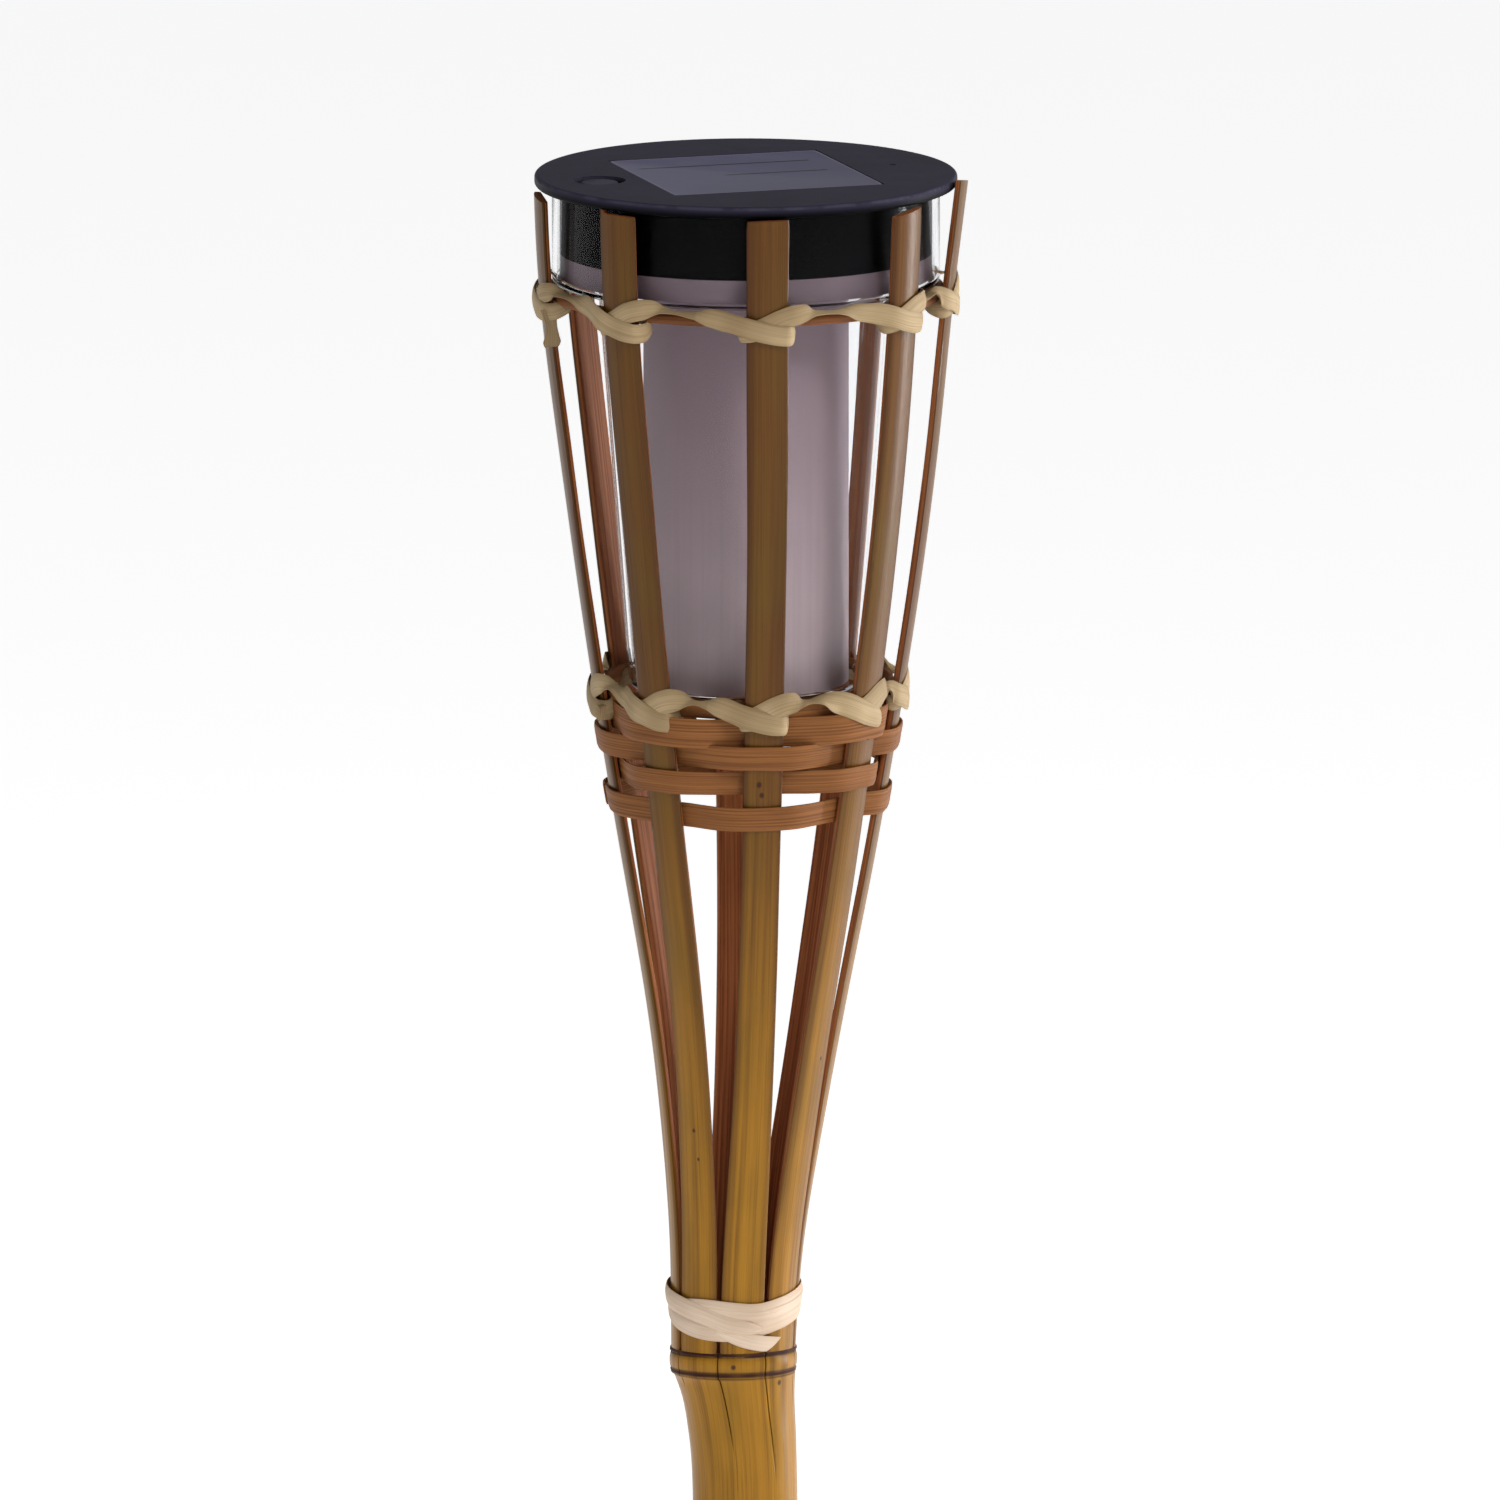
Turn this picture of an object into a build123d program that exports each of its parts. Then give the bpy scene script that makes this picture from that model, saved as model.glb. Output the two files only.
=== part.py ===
"""Solar tiki torch: a split bamboo culm carries a lantern with a solar cap.

Millimetres, +Z up. The origin is on the pole's axis at the ground line, and the front is -Y.
The culm is driven into the ground. Above its upper node it is split into slats that spread
round two hoops, and a clear cup hangs between them. The cup holds a frosted sleeve, and its
collar takes the solar cap, which holds the cell, the battery, the board, the lamp and a switch.
"""

import os
from math import cos, degrees, radians, sin, sqrt, tan

from build123d import *

os.makedirs("parts", exist_ok=True)

# ---------------------------------------------------------------- driving dimensions

# Culm
STAKE_DEPTH = 120.0  # length below the ground line
POINT_LENGTH = 45.0  # slanted cut at the foot
SHANK_RADIUS = 13.0  # straight lower end, which a ground sleeve takes
CULM_RADIUS = 13.4  # internode above the ground
CULM_WALL = 3.2
FOOT_NODE_Z = 12.0  # node just above the ground line
FOOT_NODE_RADIUS = 14.6
NODE_HEIGHT = 5.8  # band between a node's two rings
NODE_RADIUS = 16.1  # upper node, where the culm is split
NODE_SHIFT = -3.2  # the culm steps sideways at its upper node
CULM_SHIFT = -0.9  # and starts to below it
SWELL_LENGTH, SWELL_STATIONS = 54.0, 10
DIAPHRAGM = 3.0
SPLIT_Z = 176.6  # the slats start here, on the upper node

# Slats
SLAT_COUNT = 8
SLAT_THICK = 2.4
FOOT_WIDTH, MIDDLE_WIDTH, TIP_WIDTH = 11.4, 9.9, 10.9
SAW_KERF = 0.9
SLAT_SIDE_RAKE = 0.4  # how much narrower the inner face is, each side
SLAT_STATIONS = 16
SLAT_ANGLES = (6, 50, 81, 138, 186, 236, 281, 322.5)  # at the rim, from the front
FIRST_SLAT_ANGLE = 8.0  # at the split, where the slats are evenly spaced
TIP_DROPS = (0.5, 0.7, -3.1, 1.4, 0.9, 1.6, 1.1, 0.8)  # below the brim; the long one passes it
BRIM_CLEARANCE = 0.4  # from the brim to the long slat, which leans out past it

# Basket outline: (share of the height, share of the widening)
NODE_LEDGE = 0.2  # the node stands this far outside the slats' feet
WAIST_ROOM = 10.4  # cup's floor to the slats' outer faces
CONE_SHAPE = ((0.10, 0.02), (0.22, 0.095), (0.37, 0.235), (0.52, 0.40), (0.76, 0.715))
BOWL_SHAPE = ((0.45, 0.51),)
RIM_FLARE = 1.6
BASKET_SWAY = 0.7  # the slats stand this far to the side of the lantern at mid height

# Lantern heights
CONE_HEIGHT = 172.0  # split to the cup's floor
CUP_BODY_HEIGHT = 104.0  # floor to shoulder

# Cap
SKIRT_RADIUS = 47.2
SKIRT_WALL = 1.8
SKIRT_HEIGHT = 16.7
BRIM_OVERHANG = 6.3
BRIM_THICK = 3.0
BRIM_EDGE = 1.0
BASE_BAND = 6.0  # height of the white base that shows under the skirt
BASE_WALL = 1.8
BASE_LIP = 4.0  # spigot inside the skirt
CELL_THICK = 1.2
CELL_MARGIN = 4.7  # from the button's well to the cell
CELL_SUNK = 0.6  # below the lid's top
CELL_TURN = 18.0  # the cap has been set down turned by this
BUTTON_RADIUS = 4.7
BUTTON_SUNK = 0.4  # top of the button below the lid's top
BUTTON_FLANGE, FLANGE_THICK = 1.2, 1.0
FLANGE_ROOM = 0.7  # from the flange to the skirt
BUTTON_TRAVEL = 1.2
WELL_MARGIN, WELL_DEPTH = 1.9, 1.6
STEM_RADIUS = 2.4
DIMPLE_INSET, DIMPLE_RADIUS, DIMPLE_DEPTH = 14.5, 0.9, 0.5

# Cup and sleeve
CUP_WALL = 1.1
CUP_NECK_RADIUS = 37.6  # outside, under the shoulder
CUP_FLOOR_RADIUS = 29.6  # outside, at the floor
SLEEVE_ROOM, SLEEVE_THICK = 2.3, 0.4
SLEEVE_TOP_GAP = 1.0  # below the cap

# Electrics
BOARD_WIDTH, BOARD_THICK = 14.0, 1.6
BOARD_OVERRUN = 4.0  # past the lamp at one end and past the switch at the other
BOARD_DROP = 10.5  # lid underside to the board's top
SWITCH_TO_SCREW, LAMP_TO_SCREW = 10.8, 9.0  # along the board
SWITCH_SIZE, SWITCH_HEIGHT = 6.0, 4.0
PLUNGER_RADIUS, PLUNGER_STAND, PLUNGER_SUNK = 1.5, 2.2, 1.5
BATTERY_RADIUS, BATTERY_LENGTH = 5.25, 43.3  # AAA cell
BATTERY_NUB_RADIUS, BATTERY_NUB = 1.9, 1.2
BATTERY_ROOM = 6.25  # from the board's edge
CONTACT_SIZE, CONTACT_THICK = 8.0, 0.5
CONTACT_RISE = 2.45  # top of the contacts' tabs above the board
SPRING_COIL, SPRING_WIRE, SPRING_LENGTH, SPRING_TURNS = 3.2, 0.3, 4.2, 3
CRADLE_THICK, CRADLE_HEIGHT, CRADLE_PLACES = 2.0, 5.0, (-12.0, 12.0)
LAMP_RADIUS, LAMP_RIM, LAMP_FLANGE = 2.5, 0.4, 1.0  # 5 mm lamp
LAMP_BODY, LAMP_PROUD = 8.6, 2.0  # its tip stands proud of the base's underside
LEG_RADIUS, LEG_OFFSET = 0.3, 1.27
LEAD_RADIUS, LEAD_BEND = 0.6, 2.0
SCREW_RADIUS, SCREW_LENGTH, BASE_SCREW_LENGTH = 1.2, 7.0, 10.0
SCREW_HEAD_RADIUS, SCREW_HEAD = 2.3, 1.4
BOSS_RADIUS = 2.9
BASE_SCREW_INSET = 6.4  # from the skirt's inside
BASE_SCREW_ANGLES = (0, 120, 240)  # from the cap's own X

# Hoops, woven strips and lashings
STRIP_THICK = 0.8
HOOP_THICK, HOOP_HEIGHT = 2.4, 2.6  # upper hoop
LOWER_HOOP_THICK, LOWER_HOOP_HEIGHT = 1.6, 4.6
LOWER_HOOP_RISE = 1.9  # its top above the cup's floor
STRIP_ROWS = ((5.0, 4.3), (5.9, 9.8), (6.0, 16.7), (6.2, 25.4))  # height, drop below the floor
RAFFIA_THICK = 0.9
RAFFIA_BAND = 4.2  # height of the ribbon between two slats
LASHING_RISE = 2.6  # how far a turn round a slat stands above its hoop
BASE_LASHING_LOW, BASE_LASHING_HIGH = 4.6, 15.6  # above the split

# Clearances
SLIDE_GAP = 0.8  # skirt in collar
SEAT_GAP = 0.2  # a seated flat face
BASKET_GAP = 0.9  # collar to the slats
TOUCH_GAP = 0.15  # lashed pieces
FIT_GAP = 0.1  # a pin, plunger or screw in its hole
PART_GAP = 0.3  # pieces that only lie beside each other
CAP_FLOOR_GAP = 0.5  # between the cap's base and the cup's shoulder

# ---------------------------------------------------------------- places worked out from them

CUP_FLOOR_Z = SPLIT_Z + CONE_HEIGHT
SHOULDER_Z = CUP_FLOOR_Z + CUP_BODY_HEIGHT
BASE_BOTTOM_Z = SHOULDER_Z + CUP_WALL + CAP_FLOOR_GAP
SKIRT_BOTTOM_Z = BASE_BOTTOM_Z + BASE_BAND
BRIM_Z = SKIRT_BOTTOM_Z + SKIRT_HEIGHT
COLLAR_TOP_Z = BRIM_Z - SEAT_GAP
LID_TOP_Z = BRIM_Z + BRIM_THICK
BASE_FLOOR_Z = BASE_BOTTOM_Z + BASE_WALL
BRIM_RADIUS = SKIRT_RADIUS + BRIM_OVERHANG
SKIRT_INNER = SKIRT_RADIUS - SKIRT_WALL
SPLIT_RADIUS = NODE_RADIUS - NODE_LEDGE
WAIST_RADIUS = CUP_FLOOR_RADIUS + WAIST_ROOM
SLEEVE_RADIUS = CUP_FLOOR_RADIUS - CUP_WALL - SLEEVE_ROOM
WELL_RADIUS = BUTTON_RADIUS + WELL_MARGIN
BUTTON_OFFSET = SKIRT_INNER - FLANGE_ROOM - BUTTON_FLANGE - BUTTON_RADIUS
CELL_SIZE = 2 * (BUTTON_OFFSET - WELL_RADIUS - CELL_MARGIN)
BATTERY_OFFSET = BOARD_WIDTH / 2 + BATTERY_ROOM + BATTERY_RADIUS
BASE_SCREW_OFFSET = SKIRT_INNER - BASE_SCREW_INSET
COLLAR_INNER = SKIRT_RADIUS + SLIDE_GAP
COLLAR_RADIUS = COLLAR_INNER + CUP_WALL
HOOP_TOP_Z = SHOULDER_Z - SEAT_GAP - RAFFIA_THICK - TOUCH_GAP
HOOP_Z = HOOP_TOP_Z - HOOP_HEIGHT
HOOP_SLAT_RADIUS = COLLAR_RADIUS + BASKET_GAP + SLAT_THICK + RAFFIA_THICK / 2
RIM_RADIUS = HOOP_SLAT_RADIUS + RIM_FLARE
BOARD_TOP_Z = BRIM_Z - BOARD_DROP
CELL_Z = LID_TOP_Z - CELL_SUNK - CELL_THICK
CAP_FRAME = Plane.XY.rotated((0, 0, CELL_TURN))  # its X axis runs from the switch to the dimple


def cap_plane(z):
    """The cap's own turned plane at height z."""
    return Plane(origin=(0, 0, z), x_dir=CAP_FRAME.x_dir, z_dir=(0, 0, 1))


def smooth(points):
    """A smooth function through (x, y) points in order of x, level beyond its ends."""
    xs = [p[0] for p in points]
    ys = [p[1] for p in points]
    last = len(points) - 1
    slopes = []
    for i in range(len(points)):
        low, high = max(i - 1, 0), min(i + 1, last)
        slopes.append((ys[high] - ys[low]) / (xs[high] - xs[low]))

    def value(x):
        x = min(max(x, xs[0]), xs[-1])
        i = next(k for k in range(last) if x <= xs[k + 1])
        span = xs[i + 1] - xs[i]
        t = (x - xs[i]) / span
        start = (1 + 2 * t) * (1 - t) ** 2 * ys[i] + t * (1 - t) ** 2 * span * slopes[i]
        end = t * t * (3 - 2 * t) * ys[i + 1] + t * t * (t - 1) * span * slopes[i + 1]
        return start + end

    return value


def shaped(low_z, high_z, low_radius, high_radius, shape):
    """Outline points between two heights, from shares of the height and of the widening."""
    rise, growth = high_z - low_z, high_radius - low_radius
    return [(low_z + a * rise, low_radius + b * growth) for a, b in shape]


HIGHEST_TIP_Z = BRIM_Z - min(TIP_DROPS)
HALF_PITCH = radians(180 / SLAT_COUNT)
slat_radius = smooth(
    [(SPLIT_Z, SPLIT_RADIUS)]
    + shaped(SPLIT_Z, CUP_FLOOR_Z, SPLIT_RADIUS, WAIST_RADIUS, CONE_SHAPE)
    + [(CUP_FLOOR_Z, WAIST_RADIUS)]
    + shaped(CUP_FLOOR_Z, HOOP_Z, WAIST_RADIUS, HOOP_SLAT_RADIUS, BOWL_SHAPE)
    + [(HOOP_Z, HOOP_SLAT_RADIUS), (HIGHEST_TIP_Z, RIM_RADIUS)]
)
slat_sway = smooth(
    [
        (SPLIT_Z, NODE_SHIFT),
        (SPLIT_Z + BASE_LASHING_HIGH, NODE_SHIFT + 0.4),
        (SPLIT_Z + CONE_HEIGHT / 2, 0.0),
        (CUP_FLOOR_Z, BASKET_SWAY),
        (CUP_FLOOR_Z + CUP_BODY_HEIGHT / 2, BASKET_SWAY),
        (HOOP_Z, 0.0),
        (HIGHEST_TIP_Z, 0.0),
    ]
)
slat_width = smooth(
    [
        (SPLIT_Z, FOOT_WIDTH),
        (SPLIT_Z + CONE_HEIGHT / 2, MIDDLE_WIDTH),
        (CUP_FLOOR_Z, MIDDLE_WIDTH),
        (HIGHEST_TIP_Z, TIP_WIDTH),
    ]
)
slat_spread = smooth([(SPLIT_Z, 0.0), (SPLIT_Z + CONE_HEIGHT / 2, 1.0), (HIGHEST_TIP_Z, 1.0)])


def slat_angle(index, z):
    """A slat's direction from the front at height z, in degrees."""
    even = FIRST_SLAT_ANGLE + index * 360 / SLAT_COUNT
    return even + (SLAT_ANGLES[index] - even) * slat_spread(z)


def around(angle, radius, z=0.0, shift=0.0):
    """A place at radius in direction angle, turned so that its -Y points outwards."""
    a = radians(angle)
    return Location((shift + radius * sin(a), -radius * cos(a), z), (0, 0, angle))


def save(part, name):
    """Labels a finished piece and writes its STEP file."""
    part.label = name
    export_step(part, f"parts/{name}.step")
    return part


# ---------------------------------------------------------------- bamboo culm

NODE_LOW_Z = SPLIT_Z - NODE_HEIGHT
SWELL_Z = NODE_LOW_Z - SWELL_LENGTH
FOOT_LOW_Z, FOOT_HIGH_Z = FOOT_NODE_Z - NODE_HEIGHT, FOOT_NODE_Z + NODE_HEIGHT
swell_radius = smooth(
    [
        (SWELL_Z, CULM_RADIUS),
        (NODE_LOW_Z - SWELL_LENGTH / 3, CULM_RADIUS + 0.3),
        (NODE_LOW_Z, NODE_RADIUS),
    ]
)
swell_shift = smooth(
    [
        (SWELL_Z, 0.0),
        (NODE_LOW_Z - SWELL_LENGTH / 3, CULM_SHIFT),
        (NODE_LOW_Z, NODE_SHIFT),
    ]
)

with BuildPart() as pole:
    with BuildSketch(Plane.XZ):
        with BuildLine():
            Line((0, -STAKE_DEPTH), (SHANK_RADIUS, -STAKE_DEPTH))
            Line((SHANK_RADIUS, -STAKE_DEPTH), (SHANK_RADIUS, FOOT_LOW_Z))
            Spline(
                (SHANK_RADIUS, FOOT_LOW_Z),
                (FOOT_NODE_RADIUS, FOOT_NODE_Z),
                (CULM_RADIUS, FOOT_HIGH_Z),
                tangents=((0, 1), (0, 1)),
            )
            Line((CULM_RADIUS, FOOT_HIGH_Z), (CULM_RADIUS, SWELL_Z))
            Line((CULM_RADIUS, SWELL_Z), (0, SWELL_Z))
            Line((0, SWELL_Z), (0, -STAKE_DEPTH))
        make_face()
    revolve(axis=Axis.Z)
    # The culm swells and steps aside up to its upper node
    for step in range(SWELL_STATIONS):
        z = SWELL_Z + SWELL_LENGTH * step / (SWELL_STATIONS - 1)
        with BuildSketch(Plane.XY.offset(z)):
            with Locations((swell_shift(z), 0)):
                Circle(swell_radius(z))
    loft()
    with BuildSketch(Plane.XY.offset(NODE_LOW_Z)):
        with Locations((NODE_SHIFT, 0)):
            Circle(NODE_RADIUS)
    extrude(amount=NODE_HEIGHT)
    # Hollow internodes, closed by a diaphragm at each node
    for low, high in (
        (-STAKE_DEPTH, FOOT_NODE_Z - DIAPHRAGM / 2),
        (FOOT_NODE_Z + DIAPHRAGM / 2, NODE_LOW_Z - DIAPHRAGM / 2),
    ):
        with BuildSketch(Plane.XY.offset(low)):
            Circle(SHANK_RADIUS - CULM_WALL)
        extrude(amount=high - low, mode=Mode.SUBTRACT)
    # Slanted cut that makes the point
    with BuildSketch(Plane.XZ):
        with BuildLine():
            Polyline(
                (-2 * SHANK_RADIUS, -STAKE_DEPTH - POINT_LENGTH),
                (SHANK_RADIUS - CULM_WALL / 2, -STAKE_DEPTH),
                (-SHANK_RADIUS, -STAKE_DEPTH + POINT_LENGTH),
                (-2 * SHANK_RADIUS, -STAKE_DEPTH + POINT_LENGTH),
                close=True,
            )
        make_face()
    extrude(amount=2 * SHANK_RADIUS, both=True, mode=Mode.SUBTRACT)
save(pole.part, "bamboo_pole")


def slat_crown(half_width):
    """Rise of the rounded outer face, which keeps the round of the culm."""
    return SPLIT_RADIUS - sqrt(SPLIT_RADIUS**2 - half_width**2)


def slat_lean(index, z):
    """How far a slat stands out of the basket's outline: the long one leans past the brim."""
    if TIP_DROPS[index] > 0:
        return 0.0
    past_brim = BRIM_RADIUS + BRIM_CLEARANCE + SLAT_THICK - slat_radius(BRIM_Z)
    return past_brim * max(0.0, z - HOOP_TOP_Z) / (BRIM_Z - HOOP_TOP_Z)


def slat_section(index, z, grow=0.0):
    """A slat's level cross-section at height z, all round larger by grow."""
    radius = slat_radius(z)
    kerf = SAW_KERF / 2 / cos(HALF_PITCH)
    half = min(slat_width(z) / 2, radius * sin(HALF_PITCH) - kerf)
    inner = min(half - SLAT_SIDE_RAKE, (radius - SLAT_THICK) * tan(HALF_PITCH) - kerf) + grow
    edge = slat_crown(half) - grow
    half += grow
    outside, inside = -grow, SLAT_THICK + grow
    with BuildSketch(Plane.XY.offset(z)) as section:
        with BuildLine(around(slat_angle(index, z), radius + slat_lean(index, z), shift=slat_sway(z))):
            ThreePointArc((-half, edge), (0, outside), (half, edge))
            Line((half, edge), (inner, inside))
            Line((inner, inside), (-inner, inside))
            Line((-inner, inside), (-half, edge))
        make_face()
    return section.sketch


def make_slat(index, low_z, high_z, grow=0.0):
    """One slat, lofted through level cross-sections."""
    step = (high_z - low_z) / (SLAT_STATIONS - 1)
    sections = [slat_section(index, low_z + step * i, grow) for i in range(SLAT_STATIONS)]
    with BuildPart() as slat:
        loft(sections=sections)
    return slat.part


slats = [make_slat(i, SPLIT_Z, BRIM_Z - TIP_DROPS[i]) for i in range(SLAT_COUNT)]
for number, slat in enumerate(slats, start=1):
    save(slat, f"slat_{number}")
# The room that each slat takes up inside a lashing
slat_spaces = [make_slat(i, SPLIT_Z, BRIM_Z - TIP_DROPS[i], grow=TOUCH_GAP) for i in range(SLAT_COUNT)]

# ---------------------------------------------------------------- hoops and woven strips


def slat_inside(low_z, high_z):
    """Radius that just clears the slats' inner faces over a band of heights."""
    return min(slat_radius(low_z), slat_radius(high_z)) - SLAT_THICK - TOUCH_GAP


with BuildPart() as upper_hoop:
    upper_outer = slat_inside(HOOP_Z, HOOP_TOP_Z)
    with BuildSketch(Plane.XY.offset(HOOP_Z)):
        with Locations((slat_sway(HOOP_Z), 0)):
            Circle(upper_outer)
            Circle(upper_outer - HOOP_THICK, mode=Mode.SUBTRACT)
    extrude(amount=HOOP_HEIGHT)
    fillet(upper_hoop.edges().filter_by(GeomType.CIRCLE), radius=HOOP_THICK / 6)
save(upper_hoop.part, "upper_hoop")

LOWER_HOOP_TOP_Z = CUP_FLOOR_Z + LOWER_HOOP_RISE
LOWER_HOOP_Z = LOWER_HOOP_TOP_Z - LOWER_HOOP_HEIGHT
with BuildPart() as lower_hoop:
    lower_outer = slat_inside(LOWER_HOOP_Z, LOWER_HOOP_TOP_Z)
    with BuildSketch(Plane.XY.offset(LOWER_HOOP_Z)):
        with Locations((slat_sway(LOWER_HOOP_Z), 0)):
            Circle(lower_outer)
            Circle(lower_outer - LOWER_HOOP_THICK, mode=Mode.SUBTRACT)
    extrude(amount=LOWER_HOOP_HEIGHT)
save(lower_hoop.part, "lower_hoop")


def strip_points(low_z, high_z, parity, offset):
    """Points on a woven strip's face, outside the slats of one parity and inside the rest."""
    middle = (low_z + high_z) / 2
    outside = max(slat_radius(low_z), slat_radius(high_z)) + TOUCH_GAP
    inside = slat_inside(low_z, high_z) - STRIP_THICK
    points = []
    for index in range(SLAT_COUNT):
        radius = (outside if index % 2 == parity else inside) + offset
        turn = degrees((slat_width(middle) / 2 + STRIP_THICK) / slat_radius(middle))
        for side in (-turn, 0.0, turn):
            place = around(slat_angle(index, middle) + side, radius, shift=slat_sway(middle))
            points.append((place.position.X, place.position.Y))
    return points


for row, (height, drop) in enumerate(STRIP_ROWS, start=1):
    high_z = CUP_FLOOR_Z - drop
    low_z = high_z - height
    with BuildPart() as strip:
        for offset, mode in ((STRIP_THICK, Mode.ADD), (0.0, Mode.SUBTRACT)):
            with BuildSketch(Plane.XY.offset(low_z)):
                with BuildLine():
                    Spline(*strip_points(low_z, high_z, row % 2, offset), periodic=True)
                make_face()
            extrude(amount=height, mode=mode)
    save(strip.part, f"woven_strip_{row}")

# ---------------------------------------------------------------- raffia lashings


def make_lashing(hoop_low, hoop_high, hoop_outer, hoop_inner, turn_low, turn_high):
    """Turns of raffia round each slat and the hoop behind it, joined by a ribbon along the hoop."""
    shift = slat_sway(hoop_low)
    middle = (turn_low + turn_high) / 2
    band_z = (hoop_low + hoop_high - RAFFIA_BAND) / 2
    wrap = RAFFIA_THICK + TOUCH_GAP
    face = max(slat_radius(turn_low), slat_radius(turn_high)) + wrap
    back = hoop_inner - wrap
    with BuildPart() as lashing:
        with BuildSketch(Plane.XY.offset(band_z)):
            with Locations((shift, 0)):
                Circle(hoop_outer + wrap)
                Circle(hoop_outer, mode=Mode.SUBTRACT)
        extrude(amount=RAFFIA_BAND)
        for index in range(SLAT_COUNT):
            with BuildSketch(Plane.XY.offset(turn_low)):
                with Locations(around(slat_angle(index, middle), (face + back) / 2, shift=shift)):
                    Rectangle(slat_width(middle) + 2 * wrap, face - back)
            extrude(amount=turn_high - turn_low)
        with BuildSketch(Plane.XY.offset(hoop_low - TOUCH_GAP)):
            with Locations((shift, 0)):
                Circle(hoop_outer + TOUCH_GAP)
                Circle(hoop_inner - TOUCH_GAP, mode=Mode.SUBTRACT)
        extrude(amount=hoop_high - hoop_low + 2 * TOUCH_GAP, mode=Mode.SUBTRACT)
        # The cup's collar stands on the turns and inside them
        with BuildSketch(Plane.XY.offset(SHOULDER_Z - SEAT_GAP)):
            Circle(COLLAR_RADIUS + PART_GAP)
        extrude(amount=COLLAR_TOP_Z - SHOULDER_Z, mode=Mode.SUBTRACT)
        for space in slat_spaces:
            add(space, mode=Mode.SUBTRACT)
    return lashing.part


upper_lashing = make_lashing(
    hoop_low=HOOP_Z,
    hoop_high=HOOP_TOP_Z,
    hoop_outer=upper_outer,
    hoop_inner=upper_outer - HOOP_THICK,
    turn_low=HOOP_Z - LASHING_RISE,
    turn_high=HOOP_TOP_Z + LASHING_RISE,
)
save(upper_lashing, "upper_lashing")

lower_lashing = make_lashing(
    hoop_low=LOWER_HOOP_Z,
    hoop_high=LOWER_HOOP_TOP_Z,
    hoop_outer=lower_outer,
    hoop_inner=lower_outer - LOWER_HOOP_THICK,
    turn_low=LOWER_HOOP_Z - RAFFIA_THICK - TOUCH_GAP,
    turn_high=LOWER_HOOP_TOP_Z + LASHING_RISE,
)
save(lower_lashing, "lower_lashing")

with BuildPart() as base_lashing:
    low_z, high_z = SPLIT_Z + BASE_LASHING_LOW, SPLIT_Z + BASE_LASHING_HIGH
    for extra, mode in ((TOUCH_GAP + 2 * RAFFIA_THICK, Mode.ADD), (TOUCH_GAP, Mode.SUBTRACT)):
        for z in (low_z, (low_z + high_z) / 2, high_z):
            with BuildSketch(Plane.XY.offset(z)):
                with Locations((slat_sway(z), 0)):
                    Circle(slat_radius(z) + extra)
        loft(mode=mode)
save(base_lashing.part, "base_lashing")

# ---------------------------------------------------------------- clear cup and frosted sleeve

with BuildPart() as clear_cup:
    with BuildSketch(Plane.XZ):
        with BuildLine():
            Polyline(
                (0, CUP_FLOOR_Z),
                (CUP_FLOOR_RADIUS, CUP_FLOOR_Z),
                (CUP_NECK_RADIUS, SHOULDER_Z),
                (COLLAR_RADIUS, SHOULDER_Z),
                (COLLAR_RADIUS, COLLAR_TOP_Z),
                (COLLAR_INNER, COLLAR_TOP_Z),
                (COLLAR_INNER, SHOULDER_Z + CUP_WALL),
                (CUP_NECK_RADIUS - CUP_WALL, SHOULDER_Z + CUP_WALL),
                (CUP_FLOOR_RADIUS - CUP_WALL, CUP_FLOOR_Z + CUP_WALL),
                (0, CUP_FLOOR_Z + CUP_WALL),
                close=True,
            )
        make_face()
    revolve(axis=Axis.Z)
save(clear_cup.part, "clear_cup")

SLEEVE_Z = CUP_FLOOR_Z + CUP_WALL + FIT_GAP
SLEEVE_TOP_Z = BASE_BOTTOM_Z - SLEEVE_TOP_GAP
with BuildPart() as frosted_sleeve:
    with BuildSketch(Plane.XY.offset(SLEEVE_Z)):
        Circle(SLEEVE_RADIUS)
        Circle(SLEEVE_RADIUS - SLEEVE_THICK, mode=Mode.SUBTRACT)
    extrude(amount=SLEEVE_TOP_Z - SLEEVE_Z)
save(frosted_sleeve.part, "frosted_sleeve")

# ---------------------------------------------------------------- solar cap

SWITCH_PLACE = (-BUTTON_OFFSET, 0)
BOARD_ENDS = (-BUTTON_OFFSET - BOARD_OVERRUN, BOARD_OVERRUN)
BOARD_CENTRE = sum(BOARD_ENDS) / 2
BOARD_LENGTH = BOARD_ENDS[1] - BOARD_ENDS[0]
BOARD_SCREWS = [(SWITCH_TO_SCREW - BUTTON_OFFSET, 0), (-LAMP_TO_SCREW, 0)]
PANEL_LEADS = [(BOARD_CENTRE, y) for y in (-BOARD_WIDTH / 4, BOARD_WIDTH / 4)]
LAMP_LEGS = [(0, -LEG_OFFSET), (0, LEG_OFFSET)]
PILOT_RADIUS = SCREW_RADIUS + FIT_GAP / 2
BOARD_LOW_Z = BOARD_TOP_Z - BOARD_THICK
BASE_SCREWS = [
    (BASE_SCREW_OFFSET * cos(radians(a)), BASE_SCREW_OFFSET * sin(radians(a))) for a in BASE_SCREW_ANGLES
]


def cap_posts(low_z, height, radius, places, mode=Mode.ADD):
    """Round posts, or holes, at places in the cap's own plane."""
    with BuildSketch(cap_plane(low_z)) as posts:
        with Locations(*places):
            Circle(radius)
    return extrude(posts.sketch, amount=height, mode=mode)


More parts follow.
